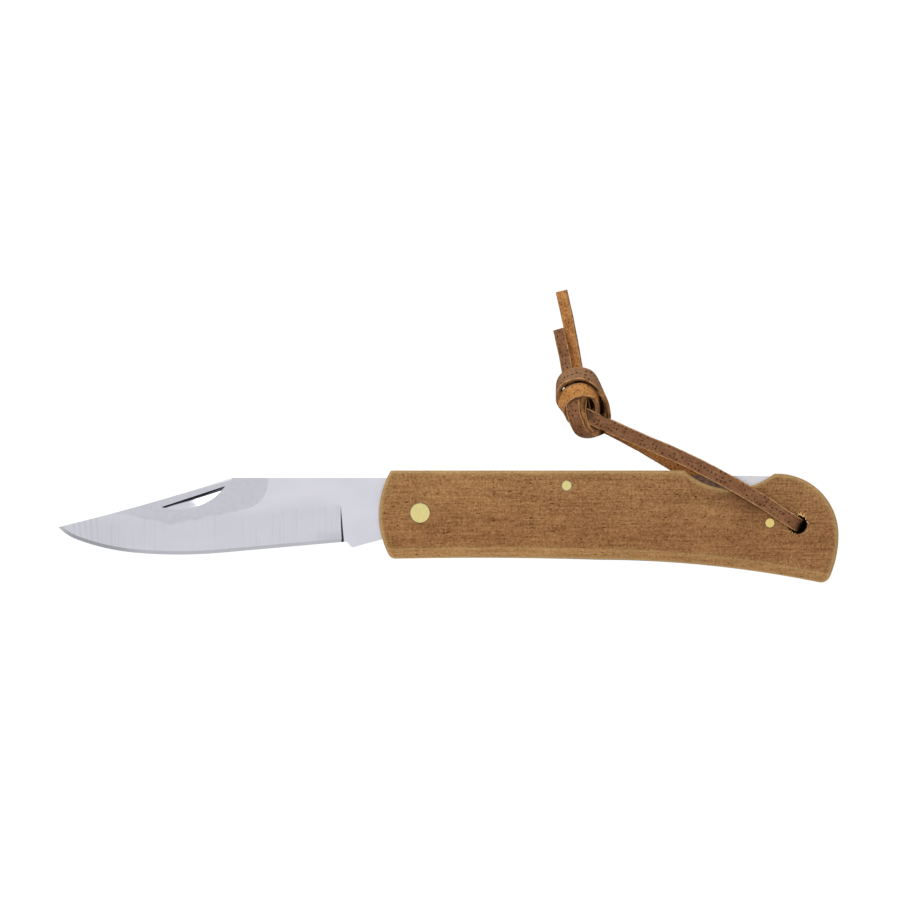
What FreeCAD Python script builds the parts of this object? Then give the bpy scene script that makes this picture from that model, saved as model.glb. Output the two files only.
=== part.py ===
import FreeCAD, Part
import math
import os

# Lock-back folding knife with wooden scales and a leather thong, lying open on its side.
# The blade points to -X, the back of the handle to +Y, the side with the nail nick to +Z.
# Outlines are drawn about the blade pivot, and the finished pieces are moved so that the
# box of the knife without its thong is centred on the origin. Millimetres and degrees.

# Stack through the thickness
blade_thickness = 2.4
washer_thickness = 0.15
washer_gap = 0.02
liner_thickness = 0.9
scale_thickness = 3.75
bar_side_gap = 0.06
spring_side_gap = 0.1

# Pins, washers and holes
pivot_pin_diameter = 4.65
lock_pin_diameter = 2.4
rear_pin_diameter = 2.3
lanyard_hole_diameter = 4.25
lanyard_hole_chamfer = 0.3
pin_clearance = 0.02
running_clearance = 0.03
pin_end_ease = 0.12
washer_wall = 2.2

# Blade outline
blade_reach = 82.9
spine_height = 8.06
clip_run = 39.8
clip_hollow = 0.42
heel_setback = 17.42
heel_drop = 6.61
choil_width = 0.65
edge_angle = 5.07
belly_radius = 112.0
belly_turn = 10.0
sweep_radius = 52.0
sweep_turn = 15.4
tip_radius = 11.0
tip_turn = 27.0
kick_setback = 15.2
kick_drop = 7.83
kick_width = 1.4
kick_round = 0.22
ricasso_setback = 9.0
ricasso_drop = 6.12

# Blade grinds and nail nick
grind_height = 8.5
grind_hollow = 0.2
edge_thickness = 0.68
edge_land = 0.06
bevel_angle = 22.0
bevel_reach = 1.6
plunge_lean = 30.0
swedge_width = 0.55
swedge_drop = 0.2
nick_length = 15.5
nick_width = 2.4
nick_depth = 0.6
nick_setback = 9.7
nick_inset = 1.7
nick_tilt = 2.4
nick_wall_lean = 45.0

# Tang and lock
tang_radius = 5.8
tang_flat_angle = 42.0
tooth_length = 3.0
engage_angle = 1.9
cam_gap = 0.15
notch_clearance = 0.1
lock_pin_run = 33.63
lock_pin_depth = 3.46
lobe_wall = 1.7
bar_front_sink = 0.18
bar_rear_sink = 1.32
bar_end_round = 2.0
rear_arm_depth = 5.74
front_arm_share = 0.8
rear_arm_share = 1.1

# Handle outline
butt_room = 13.05
handle_front = 9.4
back_height = 9.74
front_bulge = 2.7
front_depth = 10.5
front_corner_radius = 1.8
belly_arch = 0.34
belly_bend = 41.0
belly_bend_depth = 10.56
belly_fall_arch = 1.34
liner_proud = 0.16
butt_depth = 16.24
butt_corner_setback = 2.75
butt_corner_radius = 2.2
butt_bulge = 0.7
butt_radius = 14.08
butt_shoulder_drop = 0.71
notch_setback = 24.65
notch_radius = 15.6
notch_depth = 4.24
notch_lip_radius = 1.0
scale_edge_ease = 0.45
bevel_width = 2.2
bevel_drop = 1.5

# Rear pin, lanyard hole, spacer and spring, from the rear end of the handle
rear_pin_setback = 15.73
rear_pin_wall = 1.19
lanyard_setback = 9.41
lanyard_drop = 2.59
bar_rear_setback = 12.45
spacer_setback = 20.45
spacer_front_drop = 3.0
spacer_heel_drop = 8.4
spacer_bar_gap = 0.6
spacer_top_gap = 1.7
tip_room = 1.7
spring_thickness = 1.0
spring_tip_setback = 43.5
spring_contact_gap = 0.05
spring_seat_gap = 3.4
spring_slot_depth = 5.0
spring_slot_clearance = 0.03
spring_bow = 0.8

# Leather thong: points are measured from the lanyard hole's axis at the mid-plane
lace_width = 3.2
lace_thickness = 1.1
bight_half = 3.0
bight_point = (-0.4, 0.21)
upper_route = [
    (-0.4, 0.21, 3.0),
    (-0.4, 0.21, 7.1),
    (-6.7, 4.45, 6.6),
    (-15.4, 9.65, 6.85),
    (-26.4, 15.3, 4.7),
    (-36.8, 19.65, 0.95),
    (-46.0, 23.8, -1.6),
]
lower_route = [
    (-0.4, 0.21, -3.0),
    (-0.4, 0.21, -7.1),
    (-5.6, 2.2, -6.65),
    (-13.2, 5.2, -6.65),
    (-22.4, 10.2, -6.65),
    (-30.8, 15.2, -6.65),
    (-38.2, 19.6, -5.6),
    (-45.4, 23.2, -4.2),
]
long_tail_route = [
    (-49.9, 31.2, -3.2),
    (-50.9, 37.6, -5.0),
    (-52.4, 45.6, -6.0),
    (-54.1, 53.4, -6.15),
]
short_tail_route = [
    (-52.5, 31.9, -1.6),
    (-53.5, 38.3, -2.9),
    (-54.9, 44.5, -3.7),
]
knot_point = (-49.2, 27.8, -2.4)
knot_floor = -6.95
knot_core_radius = 4.4
knot_core_half = 3.7
knot_core_ease = 1.3
band_radius = 5.2
band_tilt = 35.0
inner_band_radius = 4.6
lobe_ring_radius = 3.9
band_offset_shares = (-0.04, 0.4, 0.0)
inner_band_offset_shares = (0.02, -0.1, -0.06)
lobe_offset_shares = (0.15, -0.75, -0.25)
band_axis_shares = (0.26, 0.965)
lobe_axis_shares = (0.1, 0.3, 0.95)

# Bends of the lace are this share of what the shorter run allows
bend_share = 0.45
# Cuts run past the faces that they open by this much
overrun = 1.0
# Upright corners of an outline are found within this distance
corner_reach = 0.05

V = FreeCAD.Vector
UP = V(0, 0, 1)

# Levels and places worked out from the sizes above
inner_half = blade_thickness / 2 + washer_thickness + washer_gap
liner_half = inner_half + liner_thickness
handle_half = liner_half + scale_thickness
handle_rear = blade_reach + butt_room
lock_pin_place = V(lock_pin_run, back_height - lock_pin_depth, 0)
lanyard_place = V(handle_rear - lanyard_setback, -lanyard_drop, 0)
bar_rear = handle_rear - bar_rear_setback
tooth_tip = tang_radius + cam_gap
rear_arm_bottom = back_height - rear_arm_depth
spring_seat = rear_arm_bottom - spring_seat_gap
slot_bottom = spring_seat - spring_thickness / 2 - spring_slot_clearance
rear_pin_level = slot_bottom - rear_pin_wall - pin_clearance - rear_pin_diameter / 2
rear_pin_place = V(handle_rear - rear_pin_setback, rear_pin_level, 0)
clip_corner = V(clip_run - blade_reach, spine_height, 0)


def line(p, q):
    """Straight edge from p to q."""
    return Part.LineSegment(p, q).toShape()


def bow(p, q, rise):
    """Arc from p to q whose middle stands to the left of the chord by the rise."""
    chord = q - p
    left = V(-chord.y, chord.x, 0).normalize()
    return Part.Arc(p, (p + q) * 0.5 + left * rise, q).toShape()


def polygon(points):
    """Closed outline of straight edges."""
    return [line(p, q) for p, q in zip(points, points[1:] + points[:1])]


def plate(edges, low, high):
    """Closed outline, filled and raised from one level to another."""
    face = Part.Face(Part.Wire(edges))
    return face.extrude(UP * (high - low)).translated(UP * low)


def rod(place, radius, low, high):
    """Round bar along Z."""
    return Part.makeCylinder(radius, high - low, place + UP * low, UP)


def half_turn(shape):
    """The same piece for the other side of the mid-plane."""
    return shape.mirror(V(0, 0, 0), UP)


def heading(angle):
    """Unit vector at an angle from +X."""
    return V(math.cos(math.radians(angle)), math.sin(math.radians(angle)), 0)


def edge_path():
    """Cutting edge from heel to tip: a straight run, then three arcs that tighten to the tip."""
    arcs = ((belly_radius, belly_turn), (sweep_radius, sweep_turn), (tip_radius, tip_turn))
    course = 180 + edge_angle
    reach = 0
    for radius, turn in arcs:
        reach += radius * (math.sin(math.radians(course - turn)) - math.sin(math.radians(course)))
        course -= turn
    course = 180 + edge_angle
    run = (blade_reach - heel_setback - reach) / -heading(course).x
    start = V(-heel_setback, -heel_drop, 0)
    path = [(start, course, run, None)]
    start = start + heading(course) * run
    for radius, turn in arcs:
        centre = start + heading(course - 90) * radius
        path.append((start, course, turn, centre))
        course -= turn
        start = centre + heading(course + 90) * radius
    return path, start


def edge_curves():
    """Edges of the cutting edge, heel to tip."""
    path, tip = edge_path()
    ends = [start for start, course, size, centre in path[1:]] + [tip]
    curves = []
    for (start, course, size, centre), end in zip(path, ends):
        if centre is None:
            curves.append(line(start, end))
        else:
            middle = centre + heading(course + 90 - size / 2) * (start - centre).Length
            curves.append(Part.Arc(start, middle, end).toShape())
    return curves


def clip_curve():
    """Hollow clip from the tip to the end of the spine."""
    path, tip = edge_path()
    return bow(tip, clip_corner, -clip_hollow)


def bevel_along(edge, width, drop, level, spare):
    """What a flat bevel takes along a hollow arc, below a level, with a spare length past both ends."""
    arc = edge.Curve
    rise = overrun * drop / width
    section = (
        (-overrun, level - drop - rise),
        (width + overrun, level + rise),
        (-overrun, level + rise),
    )
    outward = (edge.firstVertex(True).Point - arc.Center).normalize()
    spots = [arc.Center + outward * (arc.Radius + u) + UP * v for u, v in section]
    face = Part.Face(Part.Wire(polygon(spots)))
    sweep = math.degrees(edge.Length / arc.Radius)
    past = math.degrees(spare / arc.Radius)
    face.rotate(arc.Center, UP, past)
    return face.revolve(arc.Center, UP, -sweep - 2 * past)


def along_edge(section):
    """Solid that carries a section, in distance from the edge and height, along the cutting edge."""
    path, tip = edge_path()
    solids = []
    for start, course, size, centre in path:
        inward = heading(course - 90)
        curves = []
        for points in section:
            spots = [start + inward * u + UP * v for u, v in points]
            curve = line(*spots) if len(spots) == 2 else Part.Arc(*spots).toShape()
            curves.append(curve)
        face = Part.Face(Part.Wire(curves))
        if centre is None:
            solids.append(face.extrude(heading(course) * size))
        else:
            solids.append(face.revolve(centre, UP, -size))
    return solids[0].fuse(solids[1:]).removeSplitter()


def hollow_grind():
    """What the grinding wheel takes from the +Z side, above the cutting edge."""
    flat = blade_thickness / 2
    low = edge_thickness / 2
    middle = (grind_height / 2, (flat + low) / 2 - grind_hollow)
    top = flat + overrun
    section = [
        [(-overrun, low), (0, low)],
        [(0, low), middle, (grind_height, flat)],
        [(grind_height, flat), (grind_height, top)],
        [(grind_height, top), (-overrun, top)],
        [(-overrun, top), (-overrun, low)],
    ]
    return along_edge(section)


def edge_bevel():
    """What the whetstone takes from the +Z side at the cutting edge."""
    low = edge_land / 2
    high = low + bevel_reach * math.tan(math.radians(bevel_angle))
    section = [
        [(-overrun, low), (0, low)],
        [(0, low), (bevel_reach, high)],
        [(bevel_reach, high), (-overrun, high)],
        [(-overrun, high), (-overrun, low)],
    ]
    return along_edge(section)


def plunge_wall():
    """What the wheel leaves standing at the heel: a wall that leans back from the grinds."""
    path, tip = edge_path()
    start, course, size, centre = path[0]
    inward = heading(course - 90)
    flat = blade_thickness / 2
    run = flat * math.tan(math.radians(plunge_lean))
    corners = [start + UP * flat, start, start + heading(course) * run]
    face = Part.Face(Part.Wire(polygon(corners))).translated(inward * -overrun)
    return face.extrude(inward * (grind_height + 2 * overrun))


def nail_nick():
    """Crescent scoop with a straight leaning upper wall, beside the clip on the +Z side."""
    path, tip = edge_path()
    along = (tip - clip_corner).normalize()
    inward = V(-along.y, along.x, 0)
    middle = clip_corner + along * nick_setback + inward * nick_inset
    turn = math.degrees(math.atan2(-along.y, -along.x)) + nick_tilt
    arc_radius = (nick_length ** 2 / 4 + nick_width ** 2) / (2 * nick_width)
    wall_offset = arc_radius - nick_width
    ball_radius = (arc_radius ** 2 - wall_offset ** 2) / (2 * nick_depth)
    lift = math.sqrt(ball_radius ** 2 - arc_radius ** 2)
    flat = blade_thickness / 2
    ball = Part.makeSphere(ball_radius, V(0, wall_offset, flat + lift))
    size = 2 * arc_radius
    below = Part.makeBox(size, size, size, V(-arc_radius, -size, flat - arc_radius))
    below.rotate(V(0, 0, flat), V(1, 0, 0), -nick_wall_lean)
    tool = ball.common(below)
    tool.rotate(V(0, 0, 0), UP, turn)
    return tool.translated(middle)


def tang_notch():
    """Notch that the lock bar's tooth drops into, drawn with the bar turned to its locked place."""
    low = tooth_tip - notch_clearance
    top = spine_height + overrun + tooth_length
    corners = [
        V(-tooth_length - notch_clearance, low, 0),
        V(notch_clearance, low, 0),
        V(notch_clearance, top, 0),
        V(-tooth_length - notch_clearance, top, 0),
    ]
    tool = plate(polygon(corners), -blade_thickness, blade_thickness)
    tool.rotate(lock_pin_place, UP, engage_angle)
    return tool


def blade():
    """Clip-point blade with its tang, grinds, nick, pivot hole and lock notch."""
    half = blade_thickness / 2
    spine_end = V(-tooth_length, spine_height, 0)
    cam_top = V(0, tang_radius, 0)
    cam_side = heading((90 - tang_flat_angle) / 2) * tang_radius
    cam_end = heading(-tang_flat_angle) * tang_radius
    ricasso = V(-ricasso_setback, -ricasso_drop, 0)
    kick_level = kick_round - kick_drop
    kick_rear = V(kick_width / 2 - kick_setback, kick_level, 0)
    kick_front = V(-kick_width / 2 - kick_setback, kick_level, 0)
    heel = V(-heel_setback, -heel_drop, 0)
    choil = V(choil_width - heel_setback, -heel_drop, 0)
    outline = [
        line(clip_corner, spine_end),
        line(spine_end, cam_top),
        Part.Arc(cam_top, cam_side, cam_end).toShape(),
        line(cam_end, ricasso),
        line(ricasso, kick_rear),
        bow(kick_rear, kick_front, kick_round),
        line(kick_front, choil),
        line(choil, heel),
    ]
    outline += edge_curves()
    outline.append(clip_curve())
    body = plate(outline, -half, half)
    swedge = bevel_along(clip_curve(), swedge_width, swedge_drop, half, overrun)
    grinds = [grind.cut(plunge_wall()) for grind in (hollow_grind(), edge_bevel())]
    for tool in [swedge] + grinds:
        body = body.cut([tool, half_turn(tool)])
    hole = rod(V(0, 0, 0), pivot_pin_diameter / 2 + running_clearance, -half - overrun, half + overrun)
    return body.cut([nail_nick(), tang_notch(), hole])


def lock_bar():
    """Rocking bar along the back: tooth at its front end, lobe round its pin, flat rear arm."""
    half = inner_half - bar_side_gap
    front = -tooth_length
    rear = bar_rear - bar_end_round
    rear_low = V(rear, rear_arm_bottom, 0)
    rear_high = V(rear, back_height - bar_rear_sink, 0)
    lobe = lock_pin_diameter / 2 + running_clearance + lobe_wall
    rear_bend = V(lock_pin_place.x + lobe * rear_arm_share, rear_arm_bottom, 0)
    front_bend = V(lock_pin_place.x - lobe * front_arm_share, tooth_tip, 0)
    outline = [
        line(V(front, tooth_tip, 0), V(front, back_height - bar_front_sink, 0)),
        line(V(front, back_height - bar_front_sink, 0), rear_high),
        bow(rear_high, rear_low, bar_end_round),
        line(rear_low, rear_bend),
        line(rear_bend, front_bend),
        line(front_bend, V(front, tooth_tip, 0)),
    ]
    body = plate(outline, -half, half).fuse(rod(lock_pin_place, lobe, -half, half)).removeSplitter()
    cam = rod(V(0, 0, 0), tooth_tip, -half - overrun, half + overrun)
    cam.rotate(lock_pin_place, UP, -engage_angle)
    behind = Part.makeBox(2 * tooth_tip, 2 * tooth_tip, 4 * half, V(0, 0, -2 * half))
    hole = rod(lock_pin_place, lock_pin_diameter / 2 + running_clearance, -half - overrun, half + overrun)
    return body.cut([cam.common(behind), hole])


def belly_curves(proud):
    """The two hollow arcs of the belly, front to rear, let down where they meet."""
    front = V(front_bulge - handle_front, -front_depth, 0)
    bend = V(belly_bend, -belly_bend_depth - proud, 0)
    butt = V(handle_rear - butt_corner_setback, -butt_depth, 0)
    return [bow(front, bend, belly_arch), bow(bend, butt, belly_fall_arch)]


def handle_plate(low, high, proud):
    """Outline that the scales, liners and spacer share, with the thumb notch, between two levels."""
    top_front = V(front_bulge - handle_front, back_height, 0)
    low_front = V(front_bulge - handle_front, -front_depth, 0)
    butt = V(handle_rear - butt_corner_setback, -butt_depth, 0)
    shoulder_level = back_height - butt_shoulder_drop
    rearmost = V(handle_rear, shoulder_level - butt_radius, 0)
    shoulder = V(handle_rear - butt_radius, shoulder_level, 0)
    notch_floor = V(handle_rear - notch_setback, back_height - notch_depth, 0)
    rise = notch_radius - notch_depth
    rear_run = math.sqrt(notch_radius ** 2 - (rise + butt_shoulder_drop) ** 2)
    front_run = math.sqrt(notch_radius ** 2 - rise ** 2)
    rear_lip = V(notch_floor.x + rear_run, shoulder_level, 0)
    front_lip = V(notch_floor.x - front_run, back_height, 0)
    outline = [bow(top_front, low_front, -front_bulge)]
    outline += belly_curves(proud)
    outline += [
        bow(butt, rearmost, -butt_bulge),
        bow(rearmost, shoulder, -butt_radius * (1 - math.sqrt(0.5))),
        line(shoulder, rear_lip),
        Part.Arc(rear_lip, notch_floor, front_lip).toShape(),
        line(front_lip, top_front),
    ]
    body = plate(outline, low, high)
    corners = (
        (low_front, front_corner_radius),
        (butt, butt_corner_radius),
        (rear_lip, notch_lip_radius),
        (front_lip, notch_lip_radius),
    )
    for corner, radius in corners:
        upright = corner + UP * ((low + high) / 2)
        found = [e for e in body.Edges if (e.CenterOfMass - upright).Length < corner_reach]
        body = body.makeFillet(radius, found)
    return body


def handle_holes(low, high):
    """Holes for the three pins and the thong through a side of the handle."""
    return [
        rod(V(0, 0, 0), pivot_pin_diameter / 2 + pin_clearance, low, high),
        rod(lock_pin_place, lock_pin_diameter / 2 + pin_clearance, low, high),
        rod(rear_pin_place, rear_pin_diameter / 2 + pin_clearance, low, high),
        rod(lanyard_place, lanyard_hole_diameter / 2, low, high),
    ]


def upper_scale():
    """Wooden half of the handle on the +Z side, bevelled along the belly and eased elsewhere."""
    body = handle_plate(liner_half, handle_half, 0)
    outer = [e for e in body.Edges if min(v.Z for v in e.Vertexes) > handle_half - scale_thickness / 2]
    body = body.makeChamfer(scale_edge_ease, outer)
    for edge in belly_curves(0):
        body = body.cut(bevel_along(edge, bevel_width, bevel_drop, handle_half, butt_corner_radius))
    body = body.cut(handle_holes(liner_half - overrun, handle_half + overrun))
    mouth_radius = lanyard_hole_diameter / 2
    mouth = Part.makeCone(
        mouth_radius, mouth_radius + 2 * lanyard_hole_chamfer, 2 * lanyard_hole_chamfer,
        lanyard_place + UP * (handle_half - lanyard_hole_chamfer), UP,
    )
    return body.cut(mouth)


def upper_liner():
    """Steel plate under the upper scale, a little proud of it at the belly."""
    body = handle_plate(inner_half, liner_half, liner_proud)
    return body.cut(handle_holes(inner_half - overrun, liner_half + overrun))


def spring_outline(grow):
    """Leaf spring seen from the side, straight in its slot and bowed up to the lock bar."""
    half = spring_thickness / 2 + grow
    root = handle_rear - spacer_setback
    slot_end = V(root + spring_slot_depth + grow, spring_seat, 0)
    tip_level = rear_arm_bottom - spring_contact_gap - spring_thickness / 2
    tip = V(handle_rear - spring_tip_setback, tip_level, 0)
    lift = V(0, half, 0)
    slot_root = V(root, spring_seat, 0)
    return [
        line(slot_end - lift, slot_end + lift),
        line(slot_end + lift, slot_root + lift),
        bow(slot_root + lift, tip + lift, -spring_bow),
        bow(tip + lift, tip - lift, -half),
        bow(tip - lift, slot_root - lift, spring_bow),
        line(slot_root - lift, slot_end - lift),
    ]


def back_spring():
    """Leaf spring that presses the lock bar's rear arm up."""
    half = inner_half - spring_side_gap
    return plate(spring_outline(0), -half, half)


def rear_spacer():
    """Steel block between the liners at the butt, clear of the folded blade and the lock bar."""
    front = handle_rear - spacer_setback
    top = rear_arm_bottom - spacer_top_gap
    behind_bar = bar_rear + spacer_bar_gap
    past_tip = blade_reach + tip_room
    rear = handle_rear + overrun
    low = -butt_depth - overrun
    high = back_height + overrun
    corners = [
        V(front, top, 0),
        V(front, -spacer_front_drop, 0),
        V(past_tip, -spacer_heel_drop, 0),
        V(past_tip, low, 0),
        V(rear, low, 0),
        V(rear, high, 0),
        V(behind_bar, high, 0),
        V(behind_bar, top, 0),
    ]
    body = handle_plate(-inner_half, inner_half, 0)
    body = body.common(plate(polygon(corners), -inner_half - overrun, inner_half + overrun))
    slot = plate(spring_outline(spring_slot_clearance), -inner_half - overrun, inner_half + overrun)
    return body.cut(handle_holes(-inner_half - overrun, inner_half + overrun)[2:] + [slot])


def pin(place, diameter):
    """Brass pin, flush with both scales, its ends eased."""
    body = rod(place, diameter / 2, -handle_half, handle_half)
    rims = [e for e in body.Edges if len(e.Vertexes) == 1]
    return body.makeChamfer(pin_end_ease, rims)


def upper_washer():
    """Bronze washer between the tang and the upper liner."""
    bore = pivot_pin_diameter / 2 + running_clearance
    low = inner_half - washer_thickness
    return rod(V(0, 0, 0), bore + washer_wall, low, inner_half).cut(rod(V(0, 0, 0), bore, low, inner_half))


def lace(route):
    """Flat lace along a route: straight runs joined by tangent arcs, its flat sides kept level."""
    points = [lanyard_place + V(*p) for p in route]
    edges = []
    radii = []
    start = points[0]
    for before, corner, after in zip(points, points[1:], points[2:]):
        back = before - corner
        ahead = after - corner
        turn = math.pi - back.getAngle(ahead)
        reach = bend_share * min(back.Length, ahead.Length)
        radius = reach / math.tan(turn / 2)
        first = corner + back.normalize() * reach
        last = corner + ahead.normalize() * reach
        centre_way = (back + ahead).normalize()
        middle = corner + centre_way * (radius / math.cos(turn / 2) - radius)
        edges.append(line(start, first))
        edges.append(Part.Arc(first, middle, last).toShape())
        radii.append(radius)
        start = last
    edges.append(line(start, points[-1]))
    path = Part.Wire(edges)
    level = points[-1] - points[0]
    across = V(-level.y, level.x, 0).normalize()
    ahead = (points[1] - points[0]).normalize()
    upright = ahead.cross(across)
    corners = [
        points[0] + across * (i * lace_width / 2) + upright * (j * lace_thickness / 2)
        for i, j in ((-1, -1), (1, -1), (1, 1), (-1, 1))
    ]
    shell = Part.BRepOffsetAPI.MakePipeShell(path)
    shell.setBiNormalMode(across)
    shell.add(Part.Wire(polygon(corners)))
    shell.build()
    shell.makeSolid()
    solid = shell.shape()
    share = solid.Volume / (lace_width * lace_thickness * path.Length)
    print("lace length %.1f, volume share %.4f, radii" % (path.Length, share), [round(r, 1) for r in radii])
    return solid


def thong_bight():
    """Stretch of the lace that stands in the lanyard hole."""
    level = V(*upper_route[-1]) - V(*upper_route[0])
    body = Part.makeBox(
        lace_thickness, lace_width, 2 * bight_half,
        V(-lace_thickness / 2, -lace_width / 2, -bight_half),
    )
    body.rotate(V(0, 0, 0), UP, math.degrees(math.atan2(level.y, level.x)))
    return body.translated(lanyard_place + V(*bight_point, 0))


def knot_band(radius, offset_shares, axis):
    """Ring of lace drawn round the knot."""
    centre = V(*[share * band_radius for share in offset_shares])
    inner = Part.makeCylinder(radius - lace_thickness / 2, lace_width, V(0, 0, -lace_width / 2), UP)
    outer = Part.makeCylinder(radius + lace_thickness / 2, lace_width, V(0, 0, -lace_width / 2), UP)
    ring = outer.cut(inner)
    ring.Placement = FreeCAD.Placement(centre, FreeCAD.Rotation(UP, axis))
    return ring


def thong_knot():
    """Overhand knot in both strands: two bands over a core, a lobe below, flat where it lies."""
    level = math.cos(math.radians(band_tilt))
    axis = V(band_axis_shares[0] * level, band_axis_shares[1] * level, -math.sin(math.radians(band_tilt)))
    core = Part.makeCylinder(knot_core_radius, 2 * knot_core_half, axis * -knot_core_half, axis)
    core = core.makeChamfer(knot_core_ease, [e for e in core.Edges if len(e.Vertexes) == 1])
    bands = [
        knot_band(band_radius, band_offset_shares, axis),
        knot_band(inner_band_radius, inner_band_offset_shares, axis),
        knot_band(lobe_ring_radius, lobe_offset_shares, V(*lobe_axis_shares)),
    ]
    body = core.fuse(bands).removeSplitter().translated(V(*knot_point))
    size = 4 * band_radius
    below = Part.makeBox(size, size, size, V(*knot_point[:2], knot_floor) - V(size / 2, size / 2, size))
    return body.cut(below).translated(lanyard_place)


def build():
    """All pieces by node name, about the blade pivot."""
    near_scale = upper_scale()
    near_liner = upper_liner()
    near_washer = upper_washer()
    return {
        "blade": blade(),
        "lock_bar": lock_bar(),
        "pivot_pin": pin(V(0, 0, 0), pivot_pin_diameter),
        "lock_bar_pin": pin(lock_pin_place, lock_pin_diameter),
        "rear_pin": pin(rear_pin_place, rear_pin_diameter),
        "upper_washer": near_washer,
        "lower_washer": half_turn(near_washer),
        "upper_liner": near_liner,
        "lower_liner": half_turn(near_liner),
        "upper_scale": near_scale,
        "lower_scale": half_turn(near_scale),
        "back_spring": back_spring(),
        "rear_spacer": rear_spacer(),
        "thong_bight": thong_bight(),
        "thong_upper_strand": lace(upper_route),
        "thong_lower_strand": lace(lower_route),
        "thong_knot": thong_knot(),
        "thong_long_tail": lace(long_tail_route),
        "thong_short_tail": lace(short_tail_route),
    }


pieces = build()
boxes = [pieces[name].optimalBoundingBox(False) for name in ("blade", "upper_scale", "lower_scale")]
whole = FreeCAD.BoundBox()
for box in boxes:
    whole.add(box)
os.makedirs("parts", exist_ok=True)
for name, shape in pieces.items():
    shape.translated(-whole.Center).exportStep("parts/%s.step" % name)
    print(name, shape.ShapeType, len(shape.Solids), shape.isValid(), round(shape.Volume, 2))
print("pivot", -whole.Center, "lock pin", lock_pin_place - whole.Center)
print("lanyard hole", lanyard_place - whole.Center)
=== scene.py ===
import math
import random
import bmesh
import bpy
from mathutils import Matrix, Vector, noise


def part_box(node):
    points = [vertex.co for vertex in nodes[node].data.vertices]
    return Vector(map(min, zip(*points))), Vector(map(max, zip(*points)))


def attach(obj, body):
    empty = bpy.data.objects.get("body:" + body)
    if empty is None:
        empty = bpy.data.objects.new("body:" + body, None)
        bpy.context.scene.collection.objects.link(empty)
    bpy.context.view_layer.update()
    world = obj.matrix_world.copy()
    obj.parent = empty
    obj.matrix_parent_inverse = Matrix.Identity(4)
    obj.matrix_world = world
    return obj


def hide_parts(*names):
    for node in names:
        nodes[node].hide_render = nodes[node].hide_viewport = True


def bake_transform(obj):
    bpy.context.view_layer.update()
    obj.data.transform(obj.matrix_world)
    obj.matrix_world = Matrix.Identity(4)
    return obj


# Looks of a lock-back folding knife with wooden scales and a knotted leather thong.
# Metres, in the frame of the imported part: tip to -X, back of the handle to +Y, nick side up.
# Values below: a step is a pair, and a mask goes from 0 at its first value to 1 at its second.
# A tint is a colour and the strength that it is laid on with. A tone is a dark and a pale colour.
# A pair of roughnesses is the gain on a texture and the base under it.

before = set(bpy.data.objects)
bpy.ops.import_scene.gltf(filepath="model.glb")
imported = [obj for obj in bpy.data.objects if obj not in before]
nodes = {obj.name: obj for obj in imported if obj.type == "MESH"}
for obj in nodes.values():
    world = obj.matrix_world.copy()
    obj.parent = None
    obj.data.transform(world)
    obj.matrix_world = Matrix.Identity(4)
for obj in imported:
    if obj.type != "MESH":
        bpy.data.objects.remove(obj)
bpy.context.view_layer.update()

MM = 0.001
PER_MM = 1 / MM
TINY = 1e-12


def middle(node):
    """Centre of a part's box."""
    low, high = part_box(node)
    return (low + high) / 2


def off(point, x, y):
    """Place at a distance from a point, in millimetres."""
    return point + Vector((x, y, 0)) * MM


def grey(level):
    """Scene colour of one level."""
    return (level, level, level, 1.0)


def linear(red, green, blue):
    """Scene colour of a screen colour given in 0 to 255."""
    def one(c):
        c /= 255
        return c / 12.92 if c <= 0.04045 else ((c + 0.055) / 1.055) ** 2.4
    return (one(red), one(green), one(blue), 1.0)


def add(name, data):
    """New object in the scene."""
    made = bpy.data.objects.new(name, data)
    bpy.context.scene.collection.objects.link(made)
    return made


# Places that the pieces below are measured from
PIVOT = middle("pivot_pin")
LOCK_PIN = middle("lock_bar_pin")
REAR_PIN = middle("rear_pin")
HANDLE = middle("upper_scale")
BIGHT_OFFSET = Vector((-0.0004, 0.00021, 0))
HOLE = middle("thong_bight") - BIGHT_OFFSET
HOLE_RADIUS = 2.12
KNOT = HOLE + Vector((-0.0492, 0.0278, -0.0024))
PINS = ((PIVOT, 2.35), (LOCK_PIN, 1.22), (REAR_PIN, 1.17))

# Photograph: square, taken straight down, with the pivot pin at this pixel
PHOTO_PIXELS = 900
PIXEL = 0.22926 * MM
PIVOT_PIXEL = (420, 513)
CAMERA_HEIGHT = 0.6
CAMERA_CLIP = (0.01, 10.0)

# Lamps: name, place, size, power, and whether matt surfaces and reflections show it
LAMPS = (
    ("key", (-0.30, 0.50, 0.74), 0.45, 3.6, True, False),
    ("card", (-0.45, 0.36, 0.82), 0.46, 2.4, False, True),
    ("fill", (0.08, -0.82, 0.27), 0.3, 1.6, True, False),
)

# Surroundings: levels of the walls and the ceiling, and the step in height between them
WALL_LEVEL = 0.18
CEILING_LEVEL = 0.76
WALL_STEP = (0.25, 0.85)

# Surface that the knife lies on: it touches the front of the handle and the lower strand.
# It has a painted shadow under the handle, by distances from the handle's middle, and a dark painted
# shadow under the hole.
FLOOR_SIZE = 3.0
FLOOR_FRONT = (-15.4 * MM, -6.06 * MM)
FLOOR_REAR = (49.2 * MM, -7.3 * MM)
FLOOR_SHADOW_RUN = (51.0, 44.0)
FLOOR_SHADOW_RISE = (7.0, 1.5)
FLOOR_SHADOW_STRENGTH = 0.8
FLOOR_HOLE_SHADOW = (3.4, 2.5)
FLOOR_GLOW = 0.97
FLOOR_ROUGHNESS = 0.9
FLOOR_OPEN = grey(0.12)
FLOOR_SHADOW_COLOUR = grey(0.004)

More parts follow.
